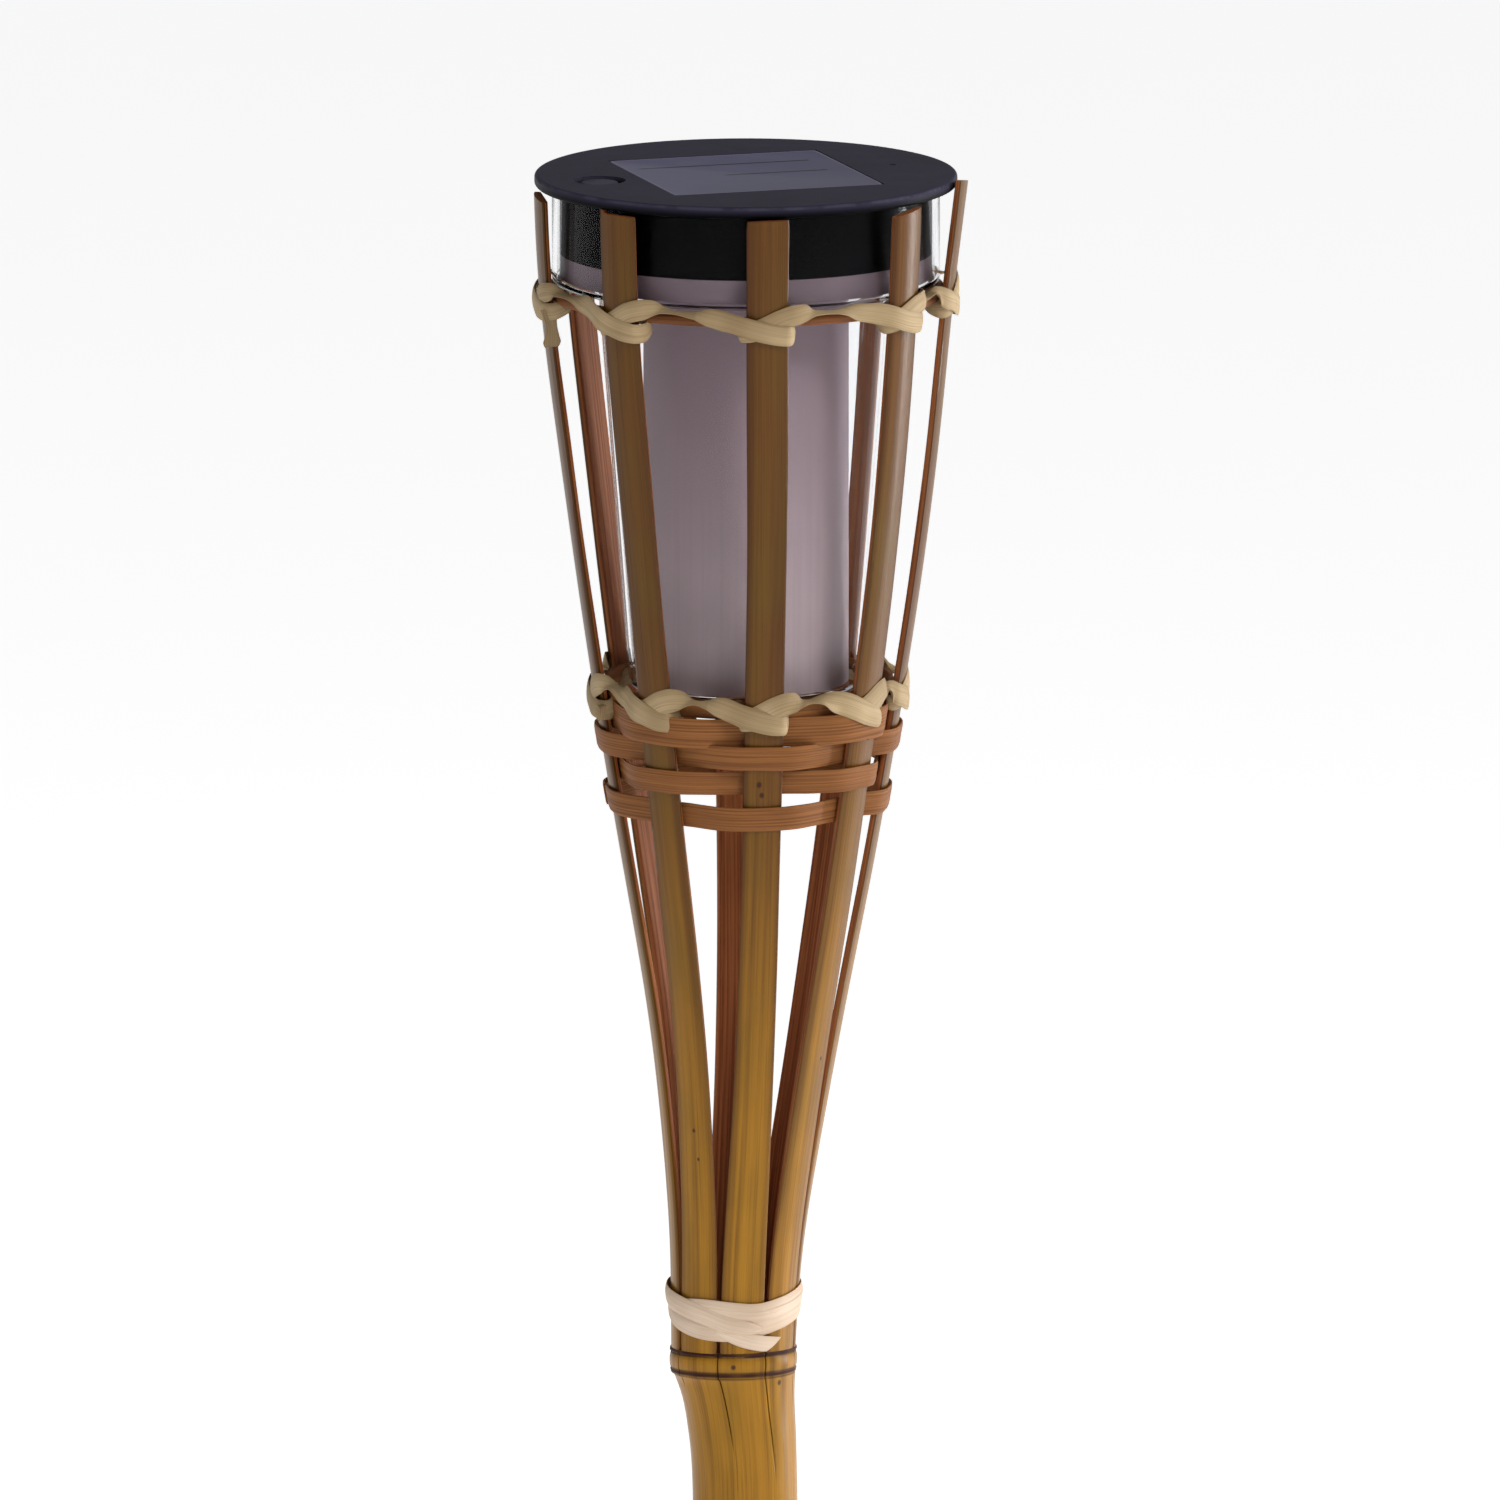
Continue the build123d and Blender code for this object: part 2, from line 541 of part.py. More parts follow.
with BuildPart() as cap_shell:
    cap_posts(BRIM_Z, BRIM_THICK, BRIM_RADIUS, [(0, 0)])
    fillet(cap_shell.edges().filter_by(GeomType.CIRCLE), radius=BRIM_EDGE)
    with BuildSketch(cap_plane(SKIRT_BOTTOM_Z)):
        Circle(SKIRT_RADIUS)
        Circle(SKIRT_INNER, mode=Mode.SUBTRACT)
    extrude(amount=SKIRT_HEIGHT)
    # Bosses for the base and the board, and their pilot holes
    cap_posts(SKIRT_BOTTOM_Z, SKIRT_HEIGHT, BOSS_RADIUS, BASE_SCREWS)
    cap_posts(BOARD_TOP_Z, BOARD_DROP, BOSS_RADIUS, BOARD_SCREWS)
    cap_posts(SKIRT_BOTTOM_Z, SCREW_LENGTH, PILOT_RADIUS, BASE_SCREWS, Mode.SUBTRACT)
    cap_posts(BOARD_TOP_Z, SCREW_LENGTH, PILOT_RADIUS, BOARD_SCREWS, Mode.SUBTRACT)
    # Recess for the cell, and holes for its leads
    with BuildSketch(cap_plane(CELL_Z)):
        Rectangle(CELL_SIZE + 2 * PART_GAP, CELL_SIZE + 2 * PART_GAP)
    extrude(amount=BRIM_THICK, mode=Mode.SUBTRACT)
    cap_posts(BRIM_Z, BRIM_THICK, LEAD_RADIUS + PART_GAP, PANEL_LEADS, Mode.SUBTRACT)
    # Well and hole for the button, and the small dimple opposite
    cap_posts(LID_TOP_Z - WELL_DEPTH, WELL_DEPTH, WELL_RADIUS, [SWITCH_PLACE], Mode.SUBTRACT)
    cap_posts(BRIM_Z, BRIM_THICK, BUTTON_RADIUS + FIT_GAP, [SWITCH_PLACE], Mode.SUBTRACT)
    dimple_place = (BRIM_RADIUS - DIMPLE_INSET, 0)
    cap_posts(LID_TOP_Z - DIMPLE_DEPTH, DIMPLE_DEPTH, DIMPLE_RADIUS, [dimple_place], Mode.SUBTRACT)
save(cap_shell.part, "cap_shell")

with BuildPart() as solar_cell:
    with BuildSketch(cap_plane(CELL_Z)):
        Rectangle(CELL_SIZE, CELL_SIZE)
    extrude(amount=CELL_THICK)
save(solar_cell.part, "solar_cell")

# Button: it goes in from below, and its flange keeps it under the lid
FLANGE_TOP_Z = BRIM_Z - FIT_GAP
FLANGE_Z = FLANGE_TOP_Z - FLANGE_THICK
SWITCH_TOP_Z = BOARD_TOP_Z + SWITCH_HEIGHT
PLUNGER_TOP_Z = SWITCH_TOP_Z + PLUNGER_STAND
PLUNGER_BORE = PLUNGER_SUNK + BUTTON_TRAVEL + PART_GAP
with BuildPart() as power_button:
    cap_posts(PLUNGER_TOP_Z, FLANGE_Z - PLUNGER_TOP_Z, STEM_RADIUS, [SWITCH_PLACE])
    cap_posts(FLANGE_Z, FLANGE_THICK, BUTTON_RADIUS + BUTTON_FLANGE, [SWITCH_PLACE])
    cap_posts(FLANGE_TOP_Z, LID_TOP_Z - BUTTON_SUNK - FLANGE_TOP_Z, BUTTON_RADIUS, [SWITCH_PLACE])
    fillet(power_button.edges().group_by(Axis.Z)[-1], radius=BUTTON_SUNK)
save(power_button.part, "power_button")

with BuildPart() as switch_plunger:
    cap_posts(PLUNGER_TOP_Z, -PLUNGER_STAND - PLUNGER_SUNK, PLUNGER_RADIUS, [SWITCH_PLACE])
save(switch_plunger.part, "switch_plunger")

with BuildPart() as push_switch:
    with BuildSketch(cap_plane(BOARD_TOP_Z)):
        with Locations(SWITCH_PLACE):
            Rectangle(SWITCH_SIZE, SWITCH_SIZE)
    extrude(amount=SWITCH_HEIGHT)
    cap_posts(SWITCH_TOP_Z, -PLUNGER_BORE, PLUNGER_RADIUS + FIT_GAP, [SWITCH_PLACE], Mode.SUBTRACT)
save(push_switch.part, "push_switch")

with BuildPart() as circuit_board:
    with BuildSketch(cap_plane(BOARD_LOW_Z)):
        with Locations((BOARD_CENTRE, 0)):
            Rectangle(BOARD_LENGTH, BOARD_WIDTH)
    extrude(amount=BOARD_THICK)
    cap_posts(BOARD_LOW_Z, BOARD_THICK, SCREW_RADIUS + FIT_GAP, BOARD_SCREWS, Mode.SUBTRACT)
    cap_posts(BOARD_LOW_Z, BOARD_THICK, LEG_RADIUS + FIT_GAP, LAMP_LEGS, Mode.SUBTRACT)
save(circuit_board.part, "circuit_board")

LAMP_TOP_Z = BASE_BOTTOM_Z - LAMP_PROUD + LAMP_BODY
LEG_LENGTH = BOARD_LOW_Z - LAMP_TOP_Z + BOARD_THICK + LEG_RADIUS
with BuildPart() as lamp:
    cap_posts(LAMP_TOP_Z, -LAMP_BODY, LAMP_RADIUS, [(0, 0)])
    fillet(lamp.edges().group_by(Axis.Z)[0], radius=LAMP_RADIUS * 0.9)
    cap_posts(LAMP_TOP_Z, -LAMP_FLANGE, LAMP_RADIUS + LAMP_RIM, [(0, 0)])
    cap_posts(LAMP_TOP_Z, LEG_LENGTH, LEG_RADIUS, LAMP_LEGS)
save(lamp.part, "lamp")

with BuildPart() as board_screws:
    cap_posts(BOARD_LOW_Z, SCREW_LENGTH, SCREW_RADIUS, BOARD_SCREWS)
    cap_posts(BOARD_LOW_Z, -SCREW_HEAD, SCREW_HEAD_RADIUS, BOARD_SCREWS)
save(board_screws.part, "board_screws")

# ---------------------------------------------------------------- white base under the skirt

SEAT_Z = BASE_BOTTOM_Z + SCREW_HEAD + FIT_GAP  # under the base's screw heads
BATTERY_Z = BASE_FLOOR_Z + FIT_GAP + BATTERY_RADIUS
BATTERY_PLACE = (0, BATTERY_OFFSET, BATTERY_Z)
CONTACT_PLUS_X = BATTERY_LENGTH / 2 + BATTERY_NUB + FIT_GAP
CONTACT_MINUS_X = -BATTERY_LENGTH / 2 - SPRING_LENGTH - FIT_GAP
CRADLE_WIDTH = 2 * (BATTERY_RADIUS + CRADLE_THICK)
WALL_PLACES = (  # the end walls behind the two contacts
    CONTACT_PLUS_X + CONTACT_THICK + (CRADLE_THICK / 2 + FIT_GAP),
    CONTACT_MINUS_X - CONTACT_THICK - (CRADLE_THICK / 2 + FIT_GAP),
)


def battery_cross(x):
    """A plane across the battery's axis, x along it."""
    origin = cap_plane(0).from_local_coords(Vector(x, BATTERY_OFFSET, BATTERY_Z))
    return Plane(origin=origin, x_dir=CAP_FRAME.y_dir, z_dir=CAP_FRAME.x_dir)


with BuildPart() as base_plate:
    cap_posts(BASE_BOTTOM_Z, BASE_BAND, SKIRT_RADIUS, [(0, 0)])
    cap_posts(SKIRT_BOTTOM_Z, BASE_LIP, SKIRT_INNER - FIT_GAP, [(0, 0)])
    inside = SKIRT_INNER - FIT_GAP - BASE_WALL
    cap_posts(BASE_FLOOR_Z, BASE_BAND + BASE_LIP, inside, [(0, 0)], Mode.SUBTRACT)
    # Pads up to the cap's bosses, which the lip stands clear of
    lip_top = BASE_LIP + FIT_GAP
    cap_posts(SKIRT_BOTTOM_Z, lip_top, BOSS_RADIUS + PART_GAP, BASE_SCREWS, Mode.SUBTRACT)
    cap_posts(BASE_BOTTOM_Z, BASE_BAND, BOSS_RADIUS, BASE_SCREWS)
    cap_posts(BASE_BOTTOM_Z, BASE_BAND, SCREW_RADIUS + FIT_GAP, BASE_SCREWS, Mode.SUBTRACT)
    cap_posts(BASE_BOTTOM_Z, SEAT_Z - BASE_BOTTOM_Z, SCREW_HEAD_RADIUS + FIT_GAP, BASE_SCREWS, Mode.SUBTRACT)
    # Cradles and end walls for the battery
    with BuildSketch(cap_plane(BASE_FLOOR_Z)):
        with Locations(*[(x, BATTERY_OFFSET) for x in CRADLE_PLACES]):
            Rectangle(CRADLE_THICK, CRADLE_WIDTH)
        with Locations(*[(x, BATTERY_OFFSET) for x in WALL_PLACES]):
            Rectangle(CRADLE_THICK, CONTACT_SIZE)
    extrude(amount=CRADLE_HEIGHT)
    with BuildSketch(battery_cross(-CONTACT_PLUS_X)):
        Circle(BATTERY_RADIUS + FIT_GAP)
    extrude(amount=2 * CONTACT_PLUS_X, mode=Mode.SUBTRACT)
    cap_posts(BASE_BOTTOM_Z, BASE_WALL, LAMP_RADIUS + PART_GAP, [(0, 0)], Mode.SUBTRACT)
save(base_plate.part, "base_plate")

with BuildPart() as base_screws:
    cap_posts(SEAT_Z, BASE_SCREW_LENGTH, SCREW_RADIUS, BASE_SCREWS)
    cap_posts(SEAT_Z, -SCREW_HEAD, SCREW_HEAD_RADIUS, BASE_SCREWS)
save(base_screws.part, "base_screws")

with BuildPart() as battery:
    for start, length, radius in (
        (-BATTERY_LENGTH / 2, BATTERY_LENGTH, BATTERY_RADIUS),
        (BATTERY_LENGTH / 2, BATTERY_NUB, BATTERY_NUB_RADIUS),
    ):
        with BuildSketch(battery_cross(start)):
            Circle(radius)
        extrude(amount=length)
save(battery.part, "battery")

TAB_TOP_Z = BOARD_TOP_Z + CONTACT_RISE
TAB_LENGTH = TAB_TOP_Z - BATTERY_Z


def contact_blade(x):
    """A sheet contact that faces the battery's end, with a tab above it."""
    with BuildSketch(battery_cross(x)) as blade:
        Rectangle(CONTACT_SIZE, CONTACT_SIZE)
        with Locations((0, TAB_LENGTH / 2)):
            Rectangle(CONTACT_SIZE / 2, TAB_LENGTH)
    return extrude(blade.sketch, amount=CONTACT_THICK)


with BuildPart() as contact_plus:
    contact_blade(CONTACT_PLUS_X)
save(contact_plus.part, "battery_contact_plus")

with BuildPart() as contact_minus:
    contact_blade(CONTACT_MINUS_X - CONTACT_THICK)
    coil = Helix(
        pitch=(SPRING_LENGTH - 2 * SPRING_WIRE) / SPRING_TURNS,
        height=SPRING_LENGTH - 2 * SPRING_WIRE,
        radius=SPRING_COIL,
        center=battery_cross(CONTACT_MINUS_X + SPRING_WIRE / 2).origin,
        direction=CAP_FRAME.x_dir,
    )
    with BuildSketch(Plane(origin=coil @ 0, z_dir=coil % 0)):
        Circle(SPRING_WIRE)
    sweep(path=coil)
save(contact_minus.part, "battery_contact_minus")

# ---------------------------------------------------------------- leads inside the cap

with BuildPart() as panel_leads:
    cap_posts(BOARD_TOP_Z, CELL_Z - BOARD_TOP_Z, LEAD_RADIUS, PANEL_LEADS)
save(panel_leads.part, "panel_leads")

with BuildPart() as battery_leads:
    height = TAB_TOP_Z + LEAD_RADIUS
    board_y = BOARD_WIDTH / 2 - BOSS_RADIUS
    for tab_x, board_x in ((CONTACT_PLUS_X, 0.0), (CONTACT_MINUS_X, CONTACT_MINUS_X)):
        route = (
            (tab_x + CONTACT_THICK / 2, BATTERY_OFFSET, height),
            (board_x, board_y, height),
            (board_x, board_y, BOARD_TOP_Z),
        )
        with BuildLine() as lead:
            FilletPolyline(*[cap_plane(0).from_local_coords(Vector(*p)) for p in route], radius=LEAD_BEND)
        with BuildSketch(Plane(origin=lead.line @ 0, z_dir=lead.line % 0)):
            Circle(LEAD_RADIUS)
        sweep(path=lead.line)
save(battery_leads.part, "battery_leads")
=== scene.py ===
"""Dresses the solar bamboo torch: culm, slats, weaving, raffia, lantern cup and solar cap.

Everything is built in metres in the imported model's own frame: +Z up the pole, -Y to the front.
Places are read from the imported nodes, and each piece rides on one of the model's bodies.
"""

import logging
import math
from collections.abc import Callable, Sequence
from dataclasses import dataclass, field
from enum import Enum

import bmesh
import bpy
import numpy as np
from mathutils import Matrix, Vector, noise


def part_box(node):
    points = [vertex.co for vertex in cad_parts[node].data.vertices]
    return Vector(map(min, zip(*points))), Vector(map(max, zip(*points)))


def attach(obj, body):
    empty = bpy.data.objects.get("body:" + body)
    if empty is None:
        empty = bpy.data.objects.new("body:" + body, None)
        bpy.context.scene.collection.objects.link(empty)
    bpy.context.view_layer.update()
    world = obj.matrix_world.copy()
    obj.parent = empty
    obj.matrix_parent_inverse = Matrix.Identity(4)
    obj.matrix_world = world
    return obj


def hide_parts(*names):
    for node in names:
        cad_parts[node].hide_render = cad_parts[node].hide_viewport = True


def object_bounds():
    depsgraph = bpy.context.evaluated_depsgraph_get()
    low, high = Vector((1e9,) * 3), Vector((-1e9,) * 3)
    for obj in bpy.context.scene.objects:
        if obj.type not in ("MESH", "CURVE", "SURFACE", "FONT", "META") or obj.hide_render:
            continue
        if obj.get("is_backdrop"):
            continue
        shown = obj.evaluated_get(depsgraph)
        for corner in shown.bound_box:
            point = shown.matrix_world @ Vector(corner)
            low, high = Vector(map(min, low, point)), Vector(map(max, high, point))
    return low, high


MM = 0.001
TAU = 2 * math.pi

log = logging.getLogger("torch")
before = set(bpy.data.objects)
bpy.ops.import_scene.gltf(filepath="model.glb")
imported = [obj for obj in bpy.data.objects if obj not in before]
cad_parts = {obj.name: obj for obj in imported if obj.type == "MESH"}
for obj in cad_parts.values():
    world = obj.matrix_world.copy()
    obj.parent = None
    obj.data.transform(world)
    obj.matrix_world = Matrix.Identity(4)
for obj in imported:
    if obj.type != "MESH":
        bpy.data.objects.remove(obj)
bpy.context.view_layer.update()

Colour = tuple[float, float, float, float]


def shade(red: int, green: int, blue: int) -> Colour:
    """Gives a shader colour for a paint-box colour.

    Args:
        red: Red, 0 to 255.
        green: Green, 0 to 255.
        blue: Blue, 0 to 255.

    Returns:
        The same colour in linear light.
    """
    parts = [c / 255 for c in (red, green, blue)]
    linear = [p / 12.92 if p <= 0.04045 else ((p + 0.055) / 1.055) ** 2.4 for p in parts]
    return (*linear, 1.0)


def eased(points: Sequence[tuple[float, ...]]) -> Callable[[float], np.ndarray]:
    """Makes a smooth curve through rows of numbers.

    Args:
        points: Rows that start with the place along the curve, in rising order.

    Returns:
        A function from that place to the other numbers of the row.
    """
    rows = np.array(points, float)
    xs, ys = rows[:, 0], rows[:, 1:]
    slopes = np.gradient(ys, xs, axis=0) if len(xs) > 2 else np.zeros_like(ys) + (ys[-1] - ys[0]) / (xs[-1] - xs[0])

    def at(x: float) -> np.ndarray:
        """Gives the curve's numbers at x."""
        x = min(max(x, xs[0]), xs[-1])
        i = min(int(np.searchsorted(xs, x, side="right")) - 1, len(xs) - 2)
        span = xs[i + 1] - xs[i]
        t = (x - xs[i]) / span
        start = (1 + 2 * t) * (1 - t) ** 2 * ys[i] + t * (1 - t) ** 2 * span * slopes[i]
        return start + t * t * (3 - 2 * t) * ys[i + 1] + t * t * (t - 1) * span * slopes[i + 1]

    return at


def wobble(place: Vector | tuple[float, float, float], size: float) -> float:
    """Gives a small, smooth and repeatable unevenness.

    Args:
        place: Where to read it, in wavelengths.
        size: Its largest value.

    Returns:
        A value between -size and size.
    """
    return size * noise.noise(Vector(place))


# ---------------------------------------------------------------- shaders


class Tone:
    """A value in a shader. Sums on tones add Math nodes."""

    def __init__(self, mixer: "Mixer", socket: bpy.types.NodeSocket) -> None:
        """Keeps the mixer that makes nodes and the socket that gives the value."""
        self.mixer = mixer
        self.socket = socket

    def math(self, operation: str, *values: "Tone | float") -> "Tone":
        """Adds one Math node.

        Args:
            operation: The node's operation.
            *values: Its inputs, in order.

        Returns:
            The node's result.
        """
        node = self.mixer.add("ShaderNodeMath", {"operation": operation}, dict(enumerate(values)))
        return Tone(self.mixer, node.outputs[0])

    def __add__(self, other: "Tone | float") -> "Tone":
        """Adds."""
        return self.math("ADD", self, other)

    def __radd__(self, other: float) -> "Tone":
        """Adds to a number."""
        return self.math("ADD", other, self)

    def __sub__(self, other: "Tone | float") -> "Tone":
        """Takes away."""
        return self.math("SUBTRACT", self, other)

    def __rsub__(self, other: float) -> "Tone":
        """Takes away from a number."""
        return self.math("SUBTRACT", other, self)

    def __mul__(self, other: "Tone | float") -> "Tone":
        """Multiplies."""
        return self.math("MULTIPLY", self, other)

    def __rmul__(self, other: float) -> "Tone":
        """Multiplies a number."""
        return self.math("MULTIPLY", other, self)

    def size(self) -> "Tone":
        """Gives the value without its sign."""
        return self.math("ABSOLUTE", self)

    def wave(self) -> "Tone":
        """Gives the value's sine."""
        return self.math("SINE", self)

    def between(self, low: float, high: float) -> "Tone":
        """Gives 0 below low, 1 above high and an even rise between.

        Args:
            low: Where the rise starts.
            high: Where it ends, which may be the smaller number.

        Returns:
            A value from 0 to 1.
        """
        settings = {"clamp": True, "interpolation_type": "SMOOTHSTEP"}
        if low > high:
            return 1 - self.between(high, low)
        node = self.mixer.add("ShaderNodeMapRange", settings, {0: self, 1: low, 2: high, 3: 0.0, 4: 1.0})
        return Tone(self.mixer, node.outputs[0])


class Mixer:
    """Builds one procedural material."""

    def __init__(self, name: str) -> None:
        """Starts an empty material of that name."""
        self.material = bpy.data.materials.new(name)
        self.material.use_nodes = True
        self.tree = self.material.node_tree
        self.tree.nodes.clear()

    def add(self, kind: str, settings: dict | None = None, sockets: dict | None = None) -> bpy.types.Node:
        """Adds a node.

        Args:
            kind: The node's type.
            settings: Its properties, such as a Math node's operation, set first.
            sockets: Values or links for its inputs, by name or number.

        Returns:
            The node.
        """
        node = self.tree.nodes.new(kind)
        for key, value in (settings or {}).items():
            setattr(node, key, value)
        for key, value in (sockets or {}).items():
            source = value.socket if isinstance(value, Tone) else value
            if isinstance(source, bpy.types.NodeSocket):
                self.tree.links.new(source, node.inputs[key])
            else:
                node.inputs[key].default_value = source
        return node

    def carried(self, name: str) -> bpy.types.NodeSocket:
        """Gives the vector that a mesh carries under that name."""
        return self.add("ShaderNodeAttribute", {"attribute_name": name}).outputs["Vector"]

    def carried_tone(self, name: str) -> Tone:
        """Gives the number that a mesh carries under that name."""
        return Tone(self, self.add("ShaderNodeAttribute", {"attribute_name": name}).outputs["Fac"])

    def place(self) -> bpy.types.NodeSocket:
        """Gives the place on the object, in metres."""
        return self.add("ShaderNodeTexCoord").outputs["Object"]

    def part_of(self, vector: bpy.types.NodeSocket, axis: int) -> Tone:
        """Gives one part of a vector: 0, 1 or 2."""
        return Tone(self, self.add("ShaderNodeSeparateXYZ", None, {0: vector}).outputs[axis])

    def stretch(self, vector: bpy.types.NodeSocket, scale: Sequence[float]) -> bpy.types.NodeSocket:
        """Scales a vector by three factors."""
        return self.add("ShaderNodeVectorMath", {"operation": "MULTIPLY"}, {0: vector, 1: scale}).outputs[0]

    def apart(self, vector: bpy.types.NodeSocket, place: Sequence[float]) -> Tone:
        """Gives the distance from a place."""
        node = self.add("ShaderNodeVectorMath", {"operation": "DISTANCE"}, {0: vector, 1: place})
        return Tone(self, node.outputs["Value"])

    def cloud(self, vector: bpy.types.NodeSocket, scale: float = 1.0, detail: float = 3.0) -> Tone:
        """Gives soft noise from 0 to 1.

        Args:
            vector: Where it is read.
            scale: Waves per unit.
            detail: How many finer layers it has.

        Returns:
            The noise.
        """
        node = self.add("ShaderNodeTexNoise", None, {"Vector": vector, "Scale": scale, "Detail": detail})
        return Tone(self, node.outputs[0])

    def tint(
        self,
        share: Tone | float,
        first: Colour | bpy.types.NodeSocket,
        second: Colour | bpy.types.NodeSocket,
    ) -> bpy.types.NodeSocket:
        """Mixes two colours.

        Args:
            share: How much of the second, 0 to 1.
            first: One colour.
            second: The other.

        Returns:
            The mixed colour.
        """
        return self.add("ShaderNodeMix", {"data_type": "RGBA"}, {0: share, 6: first, 7: second}).outputs[2]

    def relief(self, height: Tone, depth: float) -> bpy.types.NodeSocket:
        """Gives a normal that shows a height as relief.

        Args:
            height: The height, 0 to 1.
            depth: How deep it is, in metres.

        Returns:
            The normal.
        """
        return self.add("ShaderNodeBump", None, {"Strength": 1.0, "Distance": depth, "Height": height}).outputs[0]

    def surface(self, **sockets: object) -> bpy.types.Material:
        """Ends the material in one shader.

        Args:
            **sockets: Its inputs, with _ for a space.

        Returns:
            The material.
        """
        named = {key.replace("_", " "): value for key, value in sockets.items()}
        shader = self.add("ShaderNodeBsdfPrincipled", None, named)
        self.add("ShaderNodeOutputMaterial", None, {"Surface": shader.outputs[0]})
        return self.material


@dataclass(frozen=True)
class Speck:
    """A dark fleck in the bamboo's skin: its places across and up the grain and its size, in metres."""

    across: float
    height: float
    size: float


@dataclass(frozen=True)
class SkinFinish:
    """The culm's glossy outer skin, with grain along it.

    Its colour goes from low to high between two heights, in metres: the darker high colour towards the top is painted
    shade.
    """

    name: str
    # painted shade: the high colour is the skin darkened for the shade towards the top of the slats
    low: Colour = shade(166, 116, 26)
    high: Colour = shade(98, 62, 14)
    deep: Colour = shade(66, 32, 8)
    green: Colour = shade(98, 78, 18)
    ring: Colour = shade(46, 16, 8)
    painted_shade_heights: tuple[float, float] = (0.19, 0.37)
    specks: tuple[Speck, ...] = ()

    def build(self) -> bpy.types.Material:
        """Makes the material."""
        mix = Mixer(self.name)
        grain = mix.carried("grain")
        fibres = mix.cloud(mix.stretch(grain, (2600, 2600, 26)), detail=4)
        bands = mix.cloud(mix.stretch(grain, (420, 420, 7)), detail=2)
        mottle = mix.cloud(mix.stretch(grain, (60, 60, 22)), detail=3)
        # painted shade: the skin darkens from low to high up the slats
        rise = mix.part_of(grain, 2).between(*self.painted_shade_heights)
        colour = mix.tint(rise, self.low, self.high)
        colour = mix.tint(mottle.between(0.42, 0.72) * 0.45, colour, self.green)
        colour = mix.tint(bands.between(0.4, 0.75) * 0.5, colour, self.deep)
        colour = mix.tint(fibres.between(0.45, 0.75) * 0.38, colour, self.deep)
        colour = mix.tint(mix.carried_tone("edge") * 0.6, colour, self.deep)
        for speck in self.specks:
            away = mix.apart(mix.stretch(grain, (1, 0, 0.8)), (speck.across, 0, speck.height * 0.8))
            colour = mix.tint(away.between(speck.size, speck.size * 0.4) * 0.85, colour, self.ring)
        # real node stains, and painted shade in the crack grooves
        stain_and_crack_shade = mix.carried_tone("stain_and_crack_shade")
        colour = mix.tint(stain_and_crack_shade, colour, self.ring)
        return mix.surface(
            Base_Color=colour,
            Roughness=0.23 + bands * 0.16 + stain_and_crack_shade * 0.35,
            Normal=mix.relief(fibres * 0.6 + bands * 0.8, 0.09 * MM),
            Specular_IOR_Level=0.18,
            IOR=1.5,
        )


@dataclass(frozen=True)
class SplitFinish:
    """Bare split wood: cut sides, inner faces, hoops and woven strips, with fibres along it."""

    name: str
    light: Colour = shade(164, 100, 58)
    dark: Colour = shade(104, 52, 26)
    stain: Colour = shade(52, 26, 14)

    def build(self) -> bpy.types.Material:
        """Makes the material."""
        mix = Mixer(self.name)
        grain = mix.carried("grain")
        fibres = mix.cloud(mix.stretch(grain, (2300, 2300, 18)), detail=4)
        bands = mix.cloud(mix.stretch(grain, (620, 620, 9)), detail=2)
        mottle = mix.cloud(mix.stretch(grain, (90, 90, 30)), detail=3)
        colour = mix.tint(fibres.between(0.36, 0.7) * 0.75, self.light, self.dark)
        colour = mix.tint(bands.between(0.45, 0.8) * 0.55, colour, self.dark)
        colour = mix.tint(mottle.between(0.5, 0.8) * 0.3, colour, self.dark)
        colour = mix.tint(mix.carried_tone("stain_and_crack_shade"), colour, self.stain)
        return mix.surface(
            Base_Color=colour,
            Roughness=0.45 + fibres * 0.25,
            Normal=mix.relief(fibres + bands * 0.6, 0.12 * MM),
            Specular_IOR_Level=0.15,
            IOR=1.45,
        )


@dataclass(frozen=True)
class RaffiaFinish:
    """Flat raffia ribbon with fibres along it."""

    name: str
    pale: Colour = shade(180, 157, 120)
    straw: Colour = shade(118, 94, 60)
    brown: Colour = shade(120, 92, 56)

    def build(self) -> bpy.types.Material:
        """Makes the material."""
        mix = Mixer(self.name)
        grain = mix.carried("grain")
        fibres = mix.cloud(mix.stretch(grain, (3000, 3000, 34)), detail=4)
        bands = mix.cloud(mix.stretch(grain, (600, 600, 14)), detail=2)
        length = mix.cloud(mix.stretch(grain, (40, 40, 45)), detail=2)
        colour = mix.tint(length.between(0.35, 0.7) * 0.55, self.pale, self.straw)
        colour = mix.tint(fibres.between(0.42, 0.72) * 0.42, colour, self.straw)
        colour = mix.tint(bands.between(0.52, 0.8) * 0.45, colour, self.brown)
        colour = mix.tint(mix.carried_tone("edge") * 0.4, colour, self.straw)
        return mix.surface(
            Base_Color=colour,
            Roughness=0.5 + fibres * 0.2,
            Normal=mix.relief(fibres + bands, 0.12 * MM),
            Specular_IOR_Level=0.3,
            IOR=1.4,
        )


class Plastic(Enum):
    """The moulded plastics, each with its colour, roughness, coat and grain depth in metres."""

    # the base plate's white plastic, painted dark grey-lilac for the shade it sits in inside the collar
    WHITE_IN_PAINTED_SHADE = ((112, 96, 103), 0.42, 0.0, 0.02 * MM)
    SWITCH = ((38, 37, 40), 0.5, 0.0, 0.01 * MM)
    LEAD = ((150, 26, 22), 0.42, 0.1, 0.01 * MM)
    SLEEVE = ((44, 92, 140), 0.32, 0.3, 0.01 * MM)
    BOARD = ((24, 92, 48), 0.34, 0.35, 0.01 * MM)


